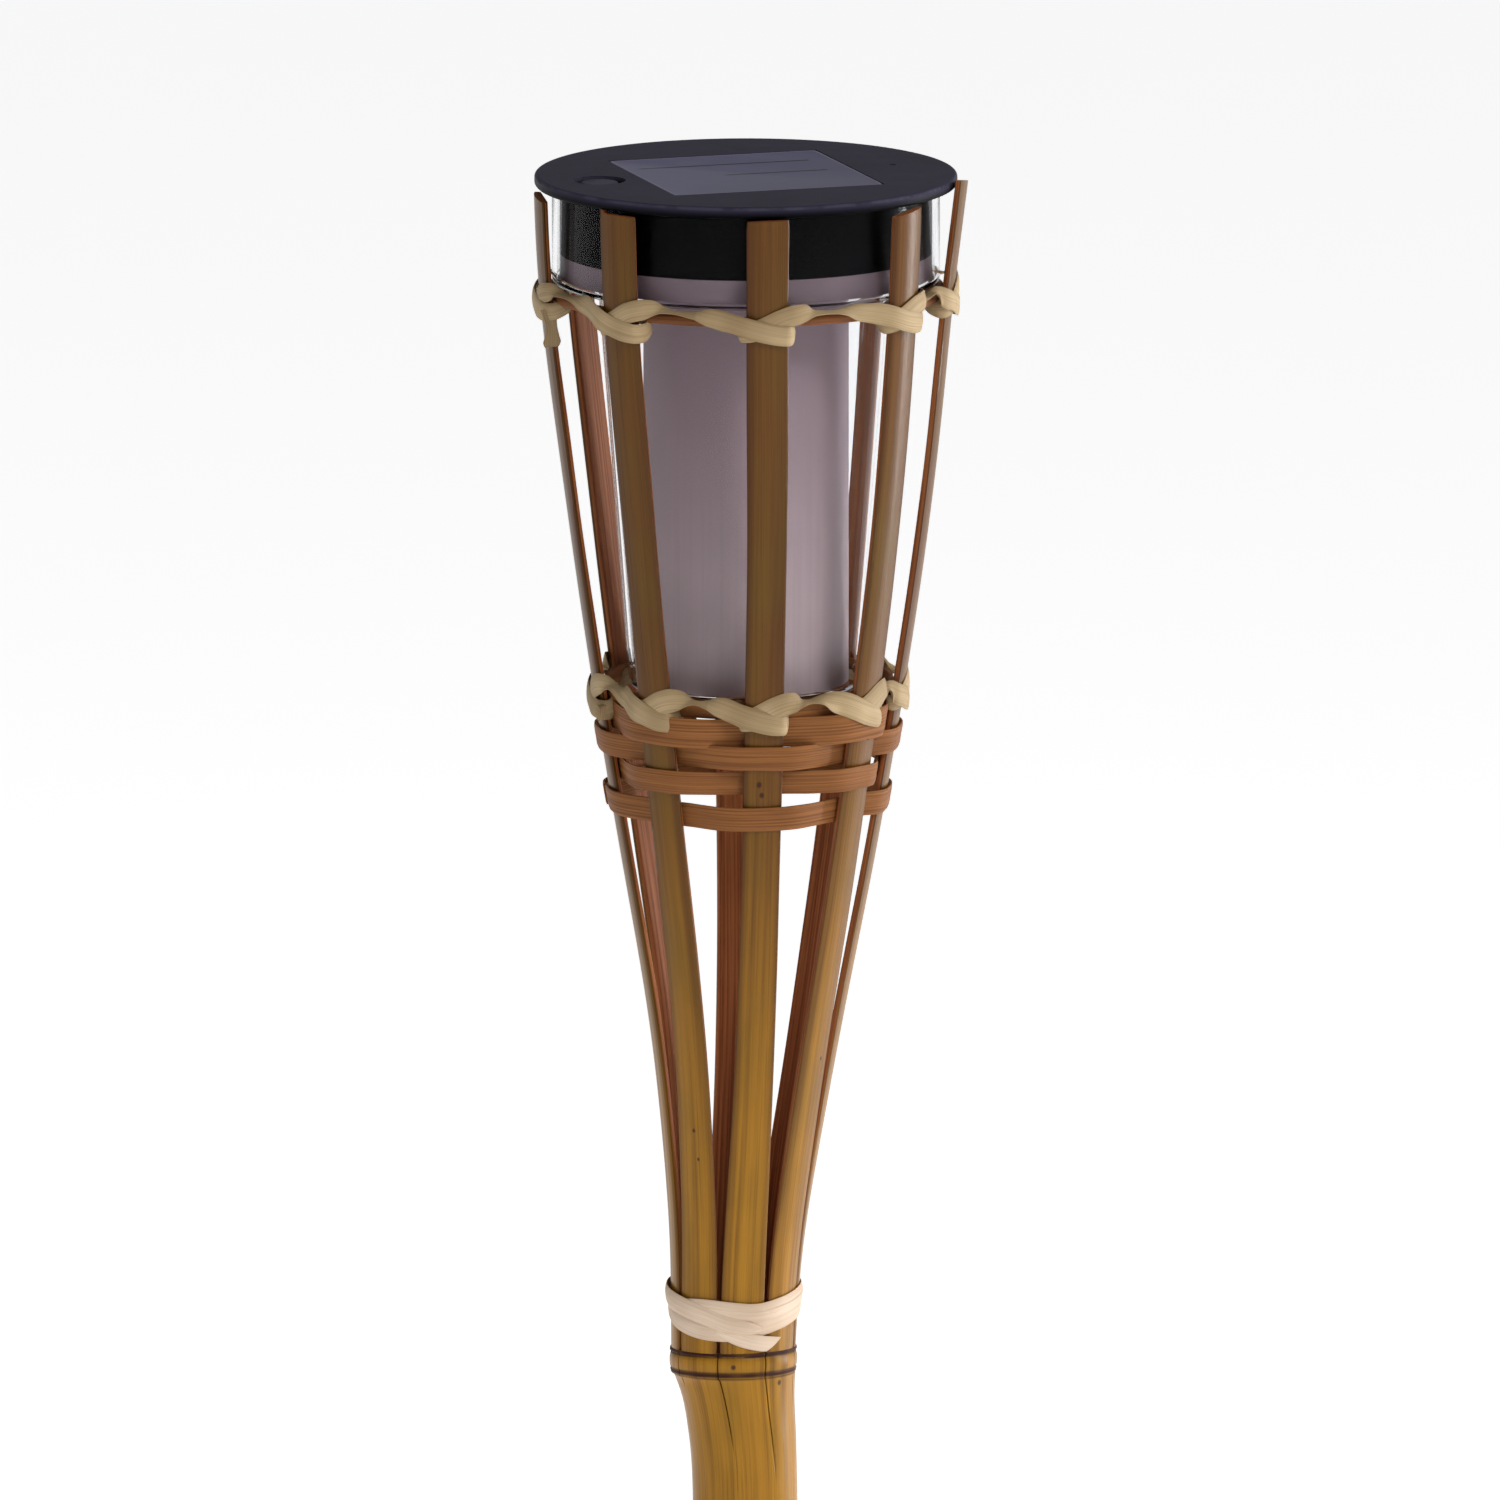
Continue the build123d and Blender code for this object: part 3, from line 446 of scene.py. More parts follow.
@dataclass(frozen=True)
class MouldedFinish:
    """Moulded or painted plastic with fine grain, faint flow marks and worn patches."""

    name: str
    kind: Plastic

    def build(self) -> bpy.types.Material:
        """Makes the material."""
        rgb, rough, coat, depth = self.kind.value
        mix = Mixer(self.name)
        place = mix.place()
        fine = mix.cloud(place, 5200, 2)
        flow = mix.cloud(mix.stretch(place, (60, 60, 160)), 1, 3)
        worn = mix.cloud(place, 140, 4)
        base = shade(*rgb)
        lighter = (*[min(1.0, c * 1.5 + 0.004) for c in base[:3]], 1.0)
        colour = mix.tint(flow.between(0.35, 0.75) * 0.5, base, lighter)
        colour = mix.tint(worn.between(0.6, 0.8) * 0.25, colour, lighter)
        return mix.surface(
            Base_Color=colour,
            Roughness=rough - 0.06 + fine * 0.08 + worn * 0.06,
            Normal=mix.relief(fine, depth),
            Coat_Weight=coat,
            Coat_Roughness=0.25,
            Specular_IOR_Level=0.3,
            IOR=1.5,
        )


@dataclass(frozen=True)
class CapFinish:
    """The cap's black plastic: deep on the skirt; on the lid a painted reflection of the sky greys it, with a patchy
    painted highlight on the rim and worn patches.
    """

    name: str
    top: float
    black: Colour = shade(2, 2, 4)
    sky_reflection_grey: Colour = shade(48, 46, 61)
    wear_and_rim_highlight: Colour = shade(78, 76, 92)

    def build(self) -> bpy.types.Material:
        """Makes the material."""
        mix = Mixer(self.name)
        place = mix.place()
        height = mix.part_of(place, 2)
        fine = mix.cloud(place, 5200, 2)
        drift = mix.cloud(mix.stretch(place, (34, 34, 34)), 1, 3)
        worn = mix.cloud(place, 150, 4)
        lid = height.between(self.top - 2.6 * MM, self.top - 0.3 * MM)
        # painted reflection: the lid's top is painted grey for the sky its gloss black reflects
        colour = mix.tint(lid * (0.72 + drift * 0.45), self.black, self.sky_reflection_grey)
        # painted highlight: a patchy lighter band along the lid's rounded rim
        edge = height.between(self.top - 1.1 * MM, self.top - 0.5 * MM) * height.between(self.top, self.top - 0.3 * MM)
        colour = mix.tint(edge * worn.between(0.3, 0.6) * 0.5, colour, self.wear_and_rim_highlight)
        # wear: lighter worn patches on the lid's top
        colour = mix.tint(lid * worn.between(0.62, 0.85) * 0.18, colour, self.wear_and_rim_highlight)
        return mix.surface(
            Base_Color=colour,
            Roughness=0.36 + fine * 0.08 + worn * 0.08,
            Normal=mix.relief(fine, 0.006 * MM),
            Specular_IOR_Level=0.03,
            IOR=1.5,
        )


@dataclass(frozen=True)
class ClearFinish:
    """Clear moulded plastic, slightly hazed."""

    name: str
    tint: Colour = (0.97, 0.975, 0.985, 1.0)
    rough: float = 0.02
    ior: float = 1.08

    def build(self) -> bpy.types.Material:
        """Makes the material."""
        mix = Mixer(self.name)
        haze = mix.cloud(mix.stretch(mix.place(), (90, 90, 30)), 1, 3)
        return mix.surface(
            Base_Color=self.tint,
            Roughness=self.rough + haze.between(0.55, 0.8) * 0.05,
            Normal=mix.relief(haze, 0.02 * MM),
            Transmission_Weight=1.0,
            IOR=self.ior,
        )


@dataclass(frozen=True)
class FilmFinish:
    """Frosted film that scatters light, paler at its foot than at its top, where the darker top is painted shade."""

    name: str
    painted_shade_heights: tuple[float, float] = (0.350, 0.452)
    pale: Colour = shade(206, 189, 192)
    deep: Colour = shade(162, 142, 150)

    def build(self) -> bpy.types.Material:
        """Makes the material."""
        mix = Mixer(self.name)
        place = mix.place()
        brushed = mix.cloud(mix.stretch(place, (900, 900, 12)), 1, 3)
        cloudy = mix.cloud(place, 26, 2)
        colour = mix.tint(cloudy.between(0.35, 0.7) * 0.4, self.pale, self.deep)
        # painted shade: the film darkens towards its top
        colour = mix.tint(mix.part_of(place, 2).between(*self.painted_shade_heights), colour, self.deep)
        colour = mix.tint(brushed.between(0.4, 0.8) * 0.2, colour, self.deep)
        return mix.surface(
            Base_Color=colour,
            Roughness=0.5 + brushed * 0.1,
            Normal=mix.relief(mix.cloud(place, 3000, 2), 0.03 * MM),
            Transmission_Weight=0.2,
            Specular_IOR_Level=0.3,
            IOR=1.3,
        )


@dataclass(frozen=True)
class CellFinish:
    """A dark wafer under clear resin, its grey-blue partly its own colour and partly a painted reflection of the sky,
    with two bus bars, fine fingers and a painted highlight on its raised bead.

    Each bar is given by its place along the wafer and its two ends across it, in metres.
    """

    name: str
    pitch: float = 2.1 * MM
    bar_half: float = 0.8 * MM
    bar_core: float = 0.5 * MM
    bars: tuple[tuple[float, float, float], ...] = ((0.0140, -0.0249, 0.0216), (-0.0014, -0.0070, 0.0216))
    # the grey-blue is partly the wafer's own colour, partly a painted reflection of the sky
    wafer: Colour = shade(82, 81, 108)
    crystals: Colour = shade(90, 88, 114)
    finger: Colour = shade(104, 102, 122)
    line: Colour = shade(22, 22, 30)
    # painted highlight: the paler colour of the raised bead's crest
    resin: Colour = shade(118, 114, 132)

    def build(self) -> bpy.types.Material:
        """Makes the material."""
        mix = Mixer(self.name)
        grain = mix.carried("grain")
        side, along = mix.part_of(grain, 0), mix.part_of(grain, 1)
        crystal = mix.cloud(grain, 160, 4)
        colour = mix.tint(crystal.between(0.3, 0.7), self.wafer, self.crystals)
        fingers = (along * (TAU / self.pitch)).wave().between(0.86, 0.98)
        colour = mix.tint(fingers * 0.22, colour, self.finger)
        for bar, start, end in self.bars:
            away = (along - bar).size()
            reach = side.between(start, start + 2 * MM) * side.between(end, end - 0.6 * MM)
            colour = mix.tint(away.between(self.bar_half, self.bar_core) * reach, colour, self.line)
        # painted highlight along the raised bead
        colour = mix.tint(mix.carried_tone("edge"), colour, self.resin)
        return mix.surface(Base_Color=colour, Roughness=0.3 + crystal * 0.12, Specular_IOR_Level=0.12, IOR=1.5)


@dataclass(frozen=True)
class MetalFinish:
    """Plated metal with fine scratches."""

    name: str
    colour: Colour
    rough: float

    def build(self) -> bpy.types.Material:
        """Makes the material."""
        mix = Mixer(self.name)
        place = mix.place()
        scratch = mix.cloud(mix.stretch(place, (4000, 500, 500)), 1, 3)
        stain = mix.cloud(place, 400, 3)
        darker = (*[c * 0.6 for c in self.colour[:3]], 1.0)
        colour = mix.tint(stain.between(0.5, 0.85) * 0.6, self.colour, darker)
        return mix.surface(
            Base_Color=colour,
            Metallic=1.0,
            Roughness=self.rough + scratch * 0.15,
            Normal=mix.relief(scratch, 0.01 * MM),
        )


@dataclass(frozen=True)
class FloorFinish:
    """Pale seamless paper."""

    name: str
    pale: Colour = (0.93, 0.93, 0.93, 1.0)
    paler: Colour = (0.95, 0.95, 0.95, 1.0)
    white: Colour = (1.0, 1.0, 1.0, 1.0)
    glow: float = 0.62

    def build(self) -> bpy.types.Material:
        """Makes the material."""
        mix = Mixer(self.name)
        soft = mix.cloud(mix.place(), 3, 2)
        colour = mix.tint(soft, self.pale, self.paler)
        return mix.surface(
            Base_Color=colour, Roughness=0.9, IOR=1.3, Emission_Color=self.white, Emission_Strength=self.glow
        )


# ---------------------------------------------------------------- meshes


@dataclass
class Shape:
    """A mesh in the making, with what its finish needs to know at each point."""

    points: list[Vector] = field(default_factory=list)
    faces: list[tuple[int, ...]] = field(default_factory=list)
    slots: list[int] = field(default_factory=list)
    grain: list[Sequence[float]] = field(default_factory=list)
    edge: list[float] = field(default_factory=list)
    stain_and_crack_shade: list[float] = field(default_factory=list)

    def point(self, place: Vector, grain: Sequence[float], edge: float = 0.0, stain_and_crack_shade: float = 0.0) -> int:
        """Adds a point.

        Args:
            place: Where it is.
            grain: Its place across, into and along the grain, in metres.
            edge: How near it is to a cut edge, 0 to 1.
            stain_and_crack_shade: How dark it is, 0 to 1: real stain at the nodes and cut faces, painted shade in the
                cracks.

        Returns:
            Its number.
        """
        self.points.append(place)
        self.grain.append(grain)
        self.edge.append(edge)
        self.stain_and_crack_shade.append(stain_and_crack_shade)
        return len(self.points) - 1

    def face(self, corners: Sequence[int], slot: int = 0) -> None:
        """Adds a face with one of the piece's finishes."""
        self.faces.append(tuple(corners))
        self.slots.append(slot)

    def bridge(self, first: Sequence[int], second: Sequence[int], slots: Sequence[int], closed: bool = True) -> None:
        """Joins two rows of points with a band of faces.

        Args:
            first: One row.
            second: The next, of the same length.
            slots: The finish of each face, repeated as needed.
            closed: Whether the rows go all the way round.
        """
        count = len(first) if closed else len(first) - 1
        for i in range(count):
            j = (i + 1) % len(first)
            self.face((first[i], first[j], second[j], second[i]), slots[i % len(slots)])

    def cap(self, row: Sequence[int], slot: int = 0) -> None:
        """Closes an end whose row goes out along one side and back along the other."""
        half = len(row) // 2
        for i in range(half - 1):
            self.face((row[i], row[i + 1], row[-2 - i], row[-1 - i]), slot)

    def piece(self, name: str, finishes: Sequence[bpy.types.Material], sharp: float = 40) -> bpy.types.Object:
        """Makes the object.

        Args:
            name: Its name.
            finishes: Its materials, in slot order.
            sharp: The angle, in degrees, above which an edge stays crisp.

        Returns:
            The object, in the scene.
        """
        mesh = bpy.data.meshes.new(name)
        mesh.from_pydata([tuple(p) for p in self.points], [], self.faces)
        for finish in finishes:
            mesh.materials.append(finish)
        mesh.polygons.foreach_set("material_index", self.slots)
        grain = mesh.attributes.new("grain", "FLOAT_VECTOR", "POINT")
        grain.data.foreach_set("vector", np.array(self.grain, np.float32).ravel())
        for key, values in (("edge", self.edge), ("stain_and_crack_shade", self.stain_and_crack_shade)):
            mesh.attributes.new(key, "FLOAT", "POINT").data.foreach_set("value", np.array(values, np.float32))
        mesh.validate()
        self.face_outwards(mesh)
        mesh.shade_smooth()
        mesh.set_sharp_from_angle(angle=math.radians(sharp))
        made = bpy.data.objects.new(name, mesh)
        bpy.context.scene.collection.objects.link(made)
        return made

    @staticmethod
    def face_outwards(mesh: bpy.types.Mesh) -> None:
        """Turns every face of a closed mesh outwards."""
        work = bmesh.new()
        work.from_mesh(mesh)
        bmesh.ops.recalc_face_normals(work, faces=work.faces)
        work.to_mesh(mesh)
        work.free()


def install(piece: bpy.types.Object, body: str, slot: str, *nodes: str) -> None:
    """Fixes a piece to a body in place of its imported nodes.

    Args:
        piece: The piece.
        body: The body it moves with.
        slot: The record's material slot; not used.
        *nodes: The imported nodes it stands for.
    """
    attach(piece, body)
    if nodes:
        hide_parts(*nodes)
    log.info("%s: %d faces on %s", piece.name, len(piece.data.polygons), body)


@dataclass(frozen=True)
class Cut:
    """A level cut through a slat."""

    height: float
    face: Vector
    outward: Vector
    across: Vector
    half: float
    thick: float


@dataclass
class PackedSlat:
    """Reads where a packed slat stands at each height."""

    node: str
    cuts: int = 30
    margin: float = 0.3 * MM
    search: float = 16.0
    tries: int = 129

    def __post_init__(self) -> None:
        """Cuts the slat at even heights and keeps smooth curves through the cuts."""
        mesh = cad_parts[self.node].data
        self.verts = np.array([v.co for v in mesh.vertices], float)
        self.edges = np.array([e.vertices[:] for e in mesh.edges], int)
        self.low, self.high = (corner.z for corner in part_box(self.node))
        rows = []
        for height in np.linspace(self.low + self.margin, self.high - self.margin, self.cuts):
            rows.append((height, *self.measure(self.section(height))))
        rows = np.array(rows)
        rows[1:-1, 1:] = (rows[:-2, 1:] + 2 * rows[1:-1, 1:] + rows[2:, 1:]) / 4
        self.curve = eased(rows)

    def section(self, height: float) -> np.ndarray:
        """Gives the points where the mesh crosses a height."""
        a, b = self.verts[self.edges[:, 0]], self.verts[self.edges[:, 1]]
        crossing = (a[:, 2] - height) * (b[:, 2] - height) < 0
        a, b = a[crossing], b[crossing]
        share = (height - a[:, 2]) / (b[:, 2] - a[:, 2])
        return (a + (b - a) * share[:, None])[:, :2]

    def measure(self, points: np.ndarray) -> tuple[float, float, float, float, float]:
        """Fits a slat's outline to a cut.

        Args:
            points: The cut's points.

        Returns:
            The direction it faces, the middle of its outer face (x and y), half its width and its thickness.
        """
        middle = (points.min(0) + points.max(0)) / 2
        start = math.atan2(middle[0], -middle[1])
        best = None
        for turn in np.radians(np.linspace(-self.search, self.search, self.tries)):
            outward = np.array([math.sin(start + turn), -math.cos(start + turn)])
            depth = points @ outward
            if best is None or np.ptp(depth) < best[0]:
                best = (np.ptp(depth), start + turn, outward)
        thick, angle, outward = best
        across = np.array([math.cos(angle), math.sin(angle)])
        side = points @ across
        face = outward * (points @ outward).max() + across * (side.min() + side.max()) / 2
        if abs(angle) > math.pi / 2:
            angle %= TAU
        return angle, *face, np.ptp(side) / 2, thick

    def at(self, height: float) -> Cut:
        """Gives the slat's cut at a height."""
        angle, x, y, half, thick = self.curve(height)
        outward = Vector((math.sin(angle), -math.cos(angle), 0))
        return Cut(height, Vector((x, y, height)), outward, Vector((-outward.y, outward.x, 0)), half, thick)


# ---------------------------------------------------------------- bamboo


@dataclass(frozen=True)
class Crack:
    """A drying crack that runs down from the split node."""

    angle: float
    length: float
    drift: float = 0.0


@dataclass
class Pole:
    """The culm: slanted hollow foot, two nodes and the cracks below the split.

    Each row of joint gives a ring at the foot node: its height off the node and its radius, in
    millimetres, and its stain. Each row of ledge does so for the split node, with its height off the
    band's middle and how far it stands past the node's radius.
    """

    bore: float = 9.8 * MM
    shank: float = 13.0 * MM
    culm: float = 13.4 * MM
    node: float = 16.1 * MM
    shift: float = -3.2 * MM
    cut_low: float = 11.4 * MM
    cut_slope: float = 1.844
    diaphragm: float = 10.5 * MM
    foot_node: float = 12.0 * MM
    crack_width: float = 0.2 * MM
    crack_depth: float = 0.5 * MM
    groove: tuple[tuple[float, float], ...] = (
        (-2.6, 0.0), (-1.0, 0.0), (-0.45, 0.55), (0.0, 1.0), (0.45, 0.55), (1.0, 0.0), (2.6, 0.0),
    )  # fmt: skip
    arch: float = 1.3 * MM
    columns: int = 88
    band_drop: float = 5.8 * MM
    swell: float = 54 * MM
    joint: tuple[tuple[float, float, float], ...] = (
        (-5.0, 13.05, 0.0), (-3.2, 13.5, 0.05), (-2.3, 14.1, 0.85), (-1.7, 13.9, 0.9), (-0.6, 14.5, 0.15),
        (0.6, 14.6, 0.1), (1.6, 14.1, 0.85), (2.2, 14.2, 0.7), (3.4, 13.7, 0.1), (5.0, 13.4, 0.0),
    )  # fmt: skip
    ledge: tuple[tuple[float, float, float], ...] = (
        (-0.95, -0.25, 0.75), (-0.70, -0.10, 0.35), (-0.40, -0.15, 0.9), (-0.05, 0.05, 1.0),
        (0.45, -0.10, 0.75), (0.90, 0.10, 0.12), (2.00, 0.22, 0.0), (3.20, 0.20, 0.05), (4.10, 0.0, 0.25),
        (4.50, -0.20, 0.9), (4.95, 0.15, 1.0), (5.45, 0.12, 0.95), (5.75, -0.35, 0.6),
    )  # fmt: skip
    cracks: tuple[Crack, ...] = (
        Crack(-14.5, 21 * MM, 5.0),
        Crack(30.5, 27 * MM, 6.5),
        Crack(-59.5, 3 * MM),
        Crack(75.5, 9 * MM, -2.0),
        Crack(120.5, 24 * MM, 3.0),
        Crack(165.5, 5 * MM),
        Crack(210.5, 41 * MM, -4.0),
        Crack(255.5, 7 * MM),
    )

    def outline(self) -> list[tuple[float, float, float, float]]:
        """Gives the culm's rings from the foot up: height, radius, sideways shift and stain."""
        low, high = (corner.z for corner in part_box("bamboo_pole"))
        band = high - self.band_drop
        swell = band - self.swell
        rows = [(low + 45 * MM + 4 * MM * i, self.shank, 0.0, 0.0) for i in range(1, 18)]
        rows += [(self.foot_node + up * MM, radius * MM, 0.0, stain) for up, radius, stain in self.joint]
        first = self.foot_node + 9 * MM
        rows += [(first + (swell - first) * i / 22, self.culm, 0.0, 0.0) for i in range(23)]
        widen = eased(
            [(0, 0.0, 0.0), (0.67, 0.3 * MM, -0.9 * MM), (0.86, 1.0 * MM, -2.0 * MM), (1, 2.5 * MM, self.shift)]
        )
        for i in range(1, 27):
            grow, aside = widen(i / 27)
            rows.append((swell + (band - 1.4 * MM - swell) * i / 26, self.culm + grow, aside, 0.0))
        rows += [(band + up * MM, self.node + past * MM, self.shift, stain) for up, past, stain in self.ledge]
        return rows

    def angles(self) -> list[tuple[float, Crack | None, float]]:
        """Gives the culm's columns, closer together at each crack.

        Returns:
            For each column its angle, the crack it belongs to and its share of that crack's depth.
        """
        found: list[tuple[float, Crack | None, float]] = []
        reach = math.degrees(self.crack_width / self.culm)
        for crack in self.cracks:
            for step, share in self.groove:
                found.append((crack.angle + reach * step, crack, share))
        for i in range(self.columns):
            angle = -90 + 360 * i / self.columns
            if all(abs((angle - c.angle + 180) % 360 - 180) > reach * 3.2 for c in self.cracks):
                found.append((angle, None, 0.0))
        return sorted(found, key=lambda row: row[0] % 360)

    def build(self, skin: bpy.types.Material, split: bpy.types.Material) -> None:
        """Builds the culm and puts it in place of its node.

        Args:
            skin: The outer skin.
            split: Cut wood, for the bore, the slanted end and the top.
        """
        rows, columns = self.outline(), self.angles()
        low, high = (corner.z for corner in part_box("bamboo_pole"))
        band = high - self.band_drop
        shape = Shape()

        def foot(x: float) -> float:
            """Gives the slanted cut's height at x."""
            return low + max(0.0, (self.cut_low - x) * self.cut_slope)

        def ring(height: float, radius: float, aside: float, stain: float, lower: float | None = None) -> list[int]:
            """Adds one ring of the skin, or a ring between the cut and the first one above it."""
            made = []
            for angle, crack, share in columns:
                drop = band - height
                depth = stain_and_crack_shade = 0.0
                # painted shade: each crack's groove is darkened as well as cut in
                if crack and height > band - crack.length:
                    fade = min(1.0, (height - band + crack.length) / (0.45 * crack.length))
                    depth, stain_and_crack_shade = self.crack_depth * share * fade, share * fade
                if crack and drop > 0:
                    angle += crack.drift * min(drop, crack.length) / crack.length
                a = math.radians(angle)
                uneven = wobble((math.sin(a) * 1.1, math.cos(a) * 1.1, height * 18), 0.22 * MM)
                uneven += wobble((math.sin(a) * 6, math.cos(a) * 6, height * 50), 0.05 * MM)
                near = max(0.0, 1 - abs(height - band - 2.9 * MM) / (12 * MM))
                tilt = near * (self.arch * max(0.0, math.cos(a)) + 0.35 * MM * math.sin(a + 1.0))
                r = radius + uneven - depth
                x = aside + r * math.sin(a)
                z = height + tilt
                if lower is not None:
                    z = foot(x) + (rows[0][0] - foot(x)) * lower
                place = Vector((x, -r * math.cos(a), z))
                dark = max(stain * (1.0 + wobble((a * 3, height * 700, 2.0), 0.3)), stain_and_crack_shade)
                made.append(shape.point(place, (a * self.culm + 0.5, 0, z), 0.0, min(1.0, max(0.0, dark))))
            return made

        outer = [ring(rows[0][0], self.shank, 0.0, 0.0, share) for share in np.linspace(0, 1, 14)[:-1]]
        outer += [ring(*row) for row in rows]
        for first, second in zip(outer, outer[1:]):
            shape.bridge(first, second, [0])

        def inner(height: float | None, radius: float, aside: float, share: float = 0.0) -> list[int]:
            """Adds one ring inside the culm, or on its cut faces."""
            made = []
            for angle, _, _ in columns:
                a = math.radians(angle)
                r = radius + wobble((math.sin(a) * 4, math.cos(a) * 4, (height or 0) * 60), 0.15 * MM)
                x = aside + r * math.sin(a)
                z = foot(x) + share * (self.diaphragm - foot(x)) if height is None else height
                made.append(shape.point(Vector((x, -r * math.cos(a), z)), (a * r, r, z), 0.0, 0.1))
            return made

        rim = inner(None, self.shank - 0.35 * MM, 0.0)
        shape.bridge(outer[0], rim, [1])
        rings = [rim, inner(None, (self.shank + self.bore) / 2, 0.0), inner(None, self.bore, 0.0)]
        rings += [inner(None, self.bore, 0.0, s) for s in (0.15, 0.4, 0.7, 0.95)]
        rings += [inner(self.diaphragm, self.bore * s, 0.0) for s in (0.9, 0.5, 0.1)]
        for first, second in zip(rings, rings[1:]):
            shape.bridge(first, second, [1])
        shape.face(rings[-1], 1)
        top = [inner(high, self.node * s, self.shift) for s in (0.94, 0.6, 0.1)]
        shape.bridge(outer[-1], top[0], [1])
        for first, second in zip(top, top[1:]):
            shape.bridge(first, second, [1])
        shape.face(top[-1], 1)
        install(shape.piece("culm", [skin, split], 60), "basket", "bamboo", "bamboo_pole")


@dataclass(frozen=True)
class Tip:
    """How a slat's upper end was cut: slant, notch and sliver, in metres of height."""

    slant: float
    bow: float = 0.0
    sliver: float = 0.0


@dataclass
class Slats:
    """The eight split slats that spread into the basket."""

    rings: int = 120
    outer: tuple[float, ...] = (-0.95, -0.8, -0.58, -0.3, 0.0, 0.3, 0.58, 0.8, 0.95)
    rake: float = 0.4 * MM
    crown: float = 1.0 * MM
    widest: float = 5.6 * MM
    fade: float = 9 * MM
    tips: tuple[Tip, ...] = (
        Tip(0.15 * MM, 0.1 * MM),
        Tip(0.75 * MM, 0.0),
        Tip(-0.9 * MM, 0.3 * MM),
        Tip(0.3 * MM, -0.2 * MM),
        Tip(-0.2 * MM, 0.1 * MM),
        Tip(0.5 * MM, 0.0),
        Tip(-0.6 * MM, 0.2 * MM),
        Tip(-0.1 * MM, 0.0, 0.9 * MM),
    )

    def __post_init__(self) -> None:
        """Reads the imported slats."""
        self.packed = [PackedSlat(f"slat_{number}") for number in range(1, 9)]

    def profile(self, cut: Cut, index: int) -> list[tuple[float, float, float]]:
        """Gives a slat's outline at one height.

        Args:
            cut: Where the slat stands.
            index: Which slat it is.

        Returns:
            Points as (across, outward, edge share), out along the skin and back inside.
        """
        seed = index * 7.3
        half = cut.half + wobble((seed, 1, cut.height * 25), 0.16 * MM)
        thick = cut.thick + wobble((seed, 2, cut.height * 30), 0.10 * MM)
        inside = half - self.rake
        crown = self.crown * (cut.half / self.widest) ** 2
        skin = []
        for u in self.outer:
            relief = wobble((seed + u * 5, cut.height * 9, 3), 0.06 * MM)
            skin.append((u * half, -crown * u * u + relief, max(0.0, abs(u) - 0.55) / 0.45))
        corner = -crown - 0.28 * MM
        right = [
            (half, corner, 1.0),
            (half - 0.12 * MM + wobble((seed, cut.height * 60, 4), 0.06 * MM), -0.65 * thick, 0.6),
            (inside, -thick + 0.2 * MM, 0.3),
        ]
        back = []
        for u in reversed(self.outer):
            rough = wobble((seed + u * 7, cut.height * 40, 5), 0.09 * MM)
            back.append((u * (inside - 0.12 * MM), -thick + rough + 0.08 * MM * (1 - u * u), 0.0))
        left = [(-a, o + wobble((seed, cut.height * 60, 6), 0.05 * MM), e) for a, o, e in reversed(right)]
        return skin + right + back + left

    def build(self, skin: bpy.types.Material, split: bpy.types.Material) -> None:
        """Builds each slat and puts it in place of its node.

        Args:
            skin: The outer skin.
            split: Cut sides, inner face and ends.
        """
        for index, (packed, tip) in enumerate(zip(self.packed, self.tips, strict=True)):
            shape, rows = Shape(), []
            for step in range(self.rings + 1):
                height = packed.low + (packed.high - packed.low) * step / self.rings
                cut = packed.at(height)
                near = max(0.0, 1 - (packed.high - height) / self.fade)
                outline = self.profile(cut, index)
                row = []
                for across, outward, edge in outline:
                    u = across / cut.half
                    lift = near * (tip.slant * u + tip.bow * (1 - u * u) - abs(tip.slant))
                    lift += near**4 * tip.sliver * (1.0 if u < -0.86 else 0.0)
                    shrink = 0.97 if step in (0, self.rings) else 1.0
                    place = cut.face + cut.across * across * shrink + cut.outward * outward
                    place.z += lift
                    row.append(shape.point(place, (across + 0.1 * index, outward, place.z), edge))
                rows.append(row)
            slots = [0 if 0 <= i <= len(self.outer) else 1 for i in range(len(outline))]
            slots[-1] = 0
            for first, second in zip(rows, rows[1:]):
                shape.bridge(first, second, slots)
            for row in (rows[0], rows[-1]):
                # the closing band starts at the last side point, so that its two halves mirror each other
                shape.cap(row[-1:] + row[:-1], 1)
            name = f"bamboo_slat_{index + 1}"
            install(shape.piece(name, [skin, split], 38), "basket", "bamboo", f"slat_{index + 1}")


# ---------------------------------------------------------------- weaving


@dataclass(frozen=True)
class Station:
    """A place along a ribbon: its middle, the half-width towards one edge, and how far it is cupped."""

    middle: Vector
    reach: Vector
    cup: float = 0.0


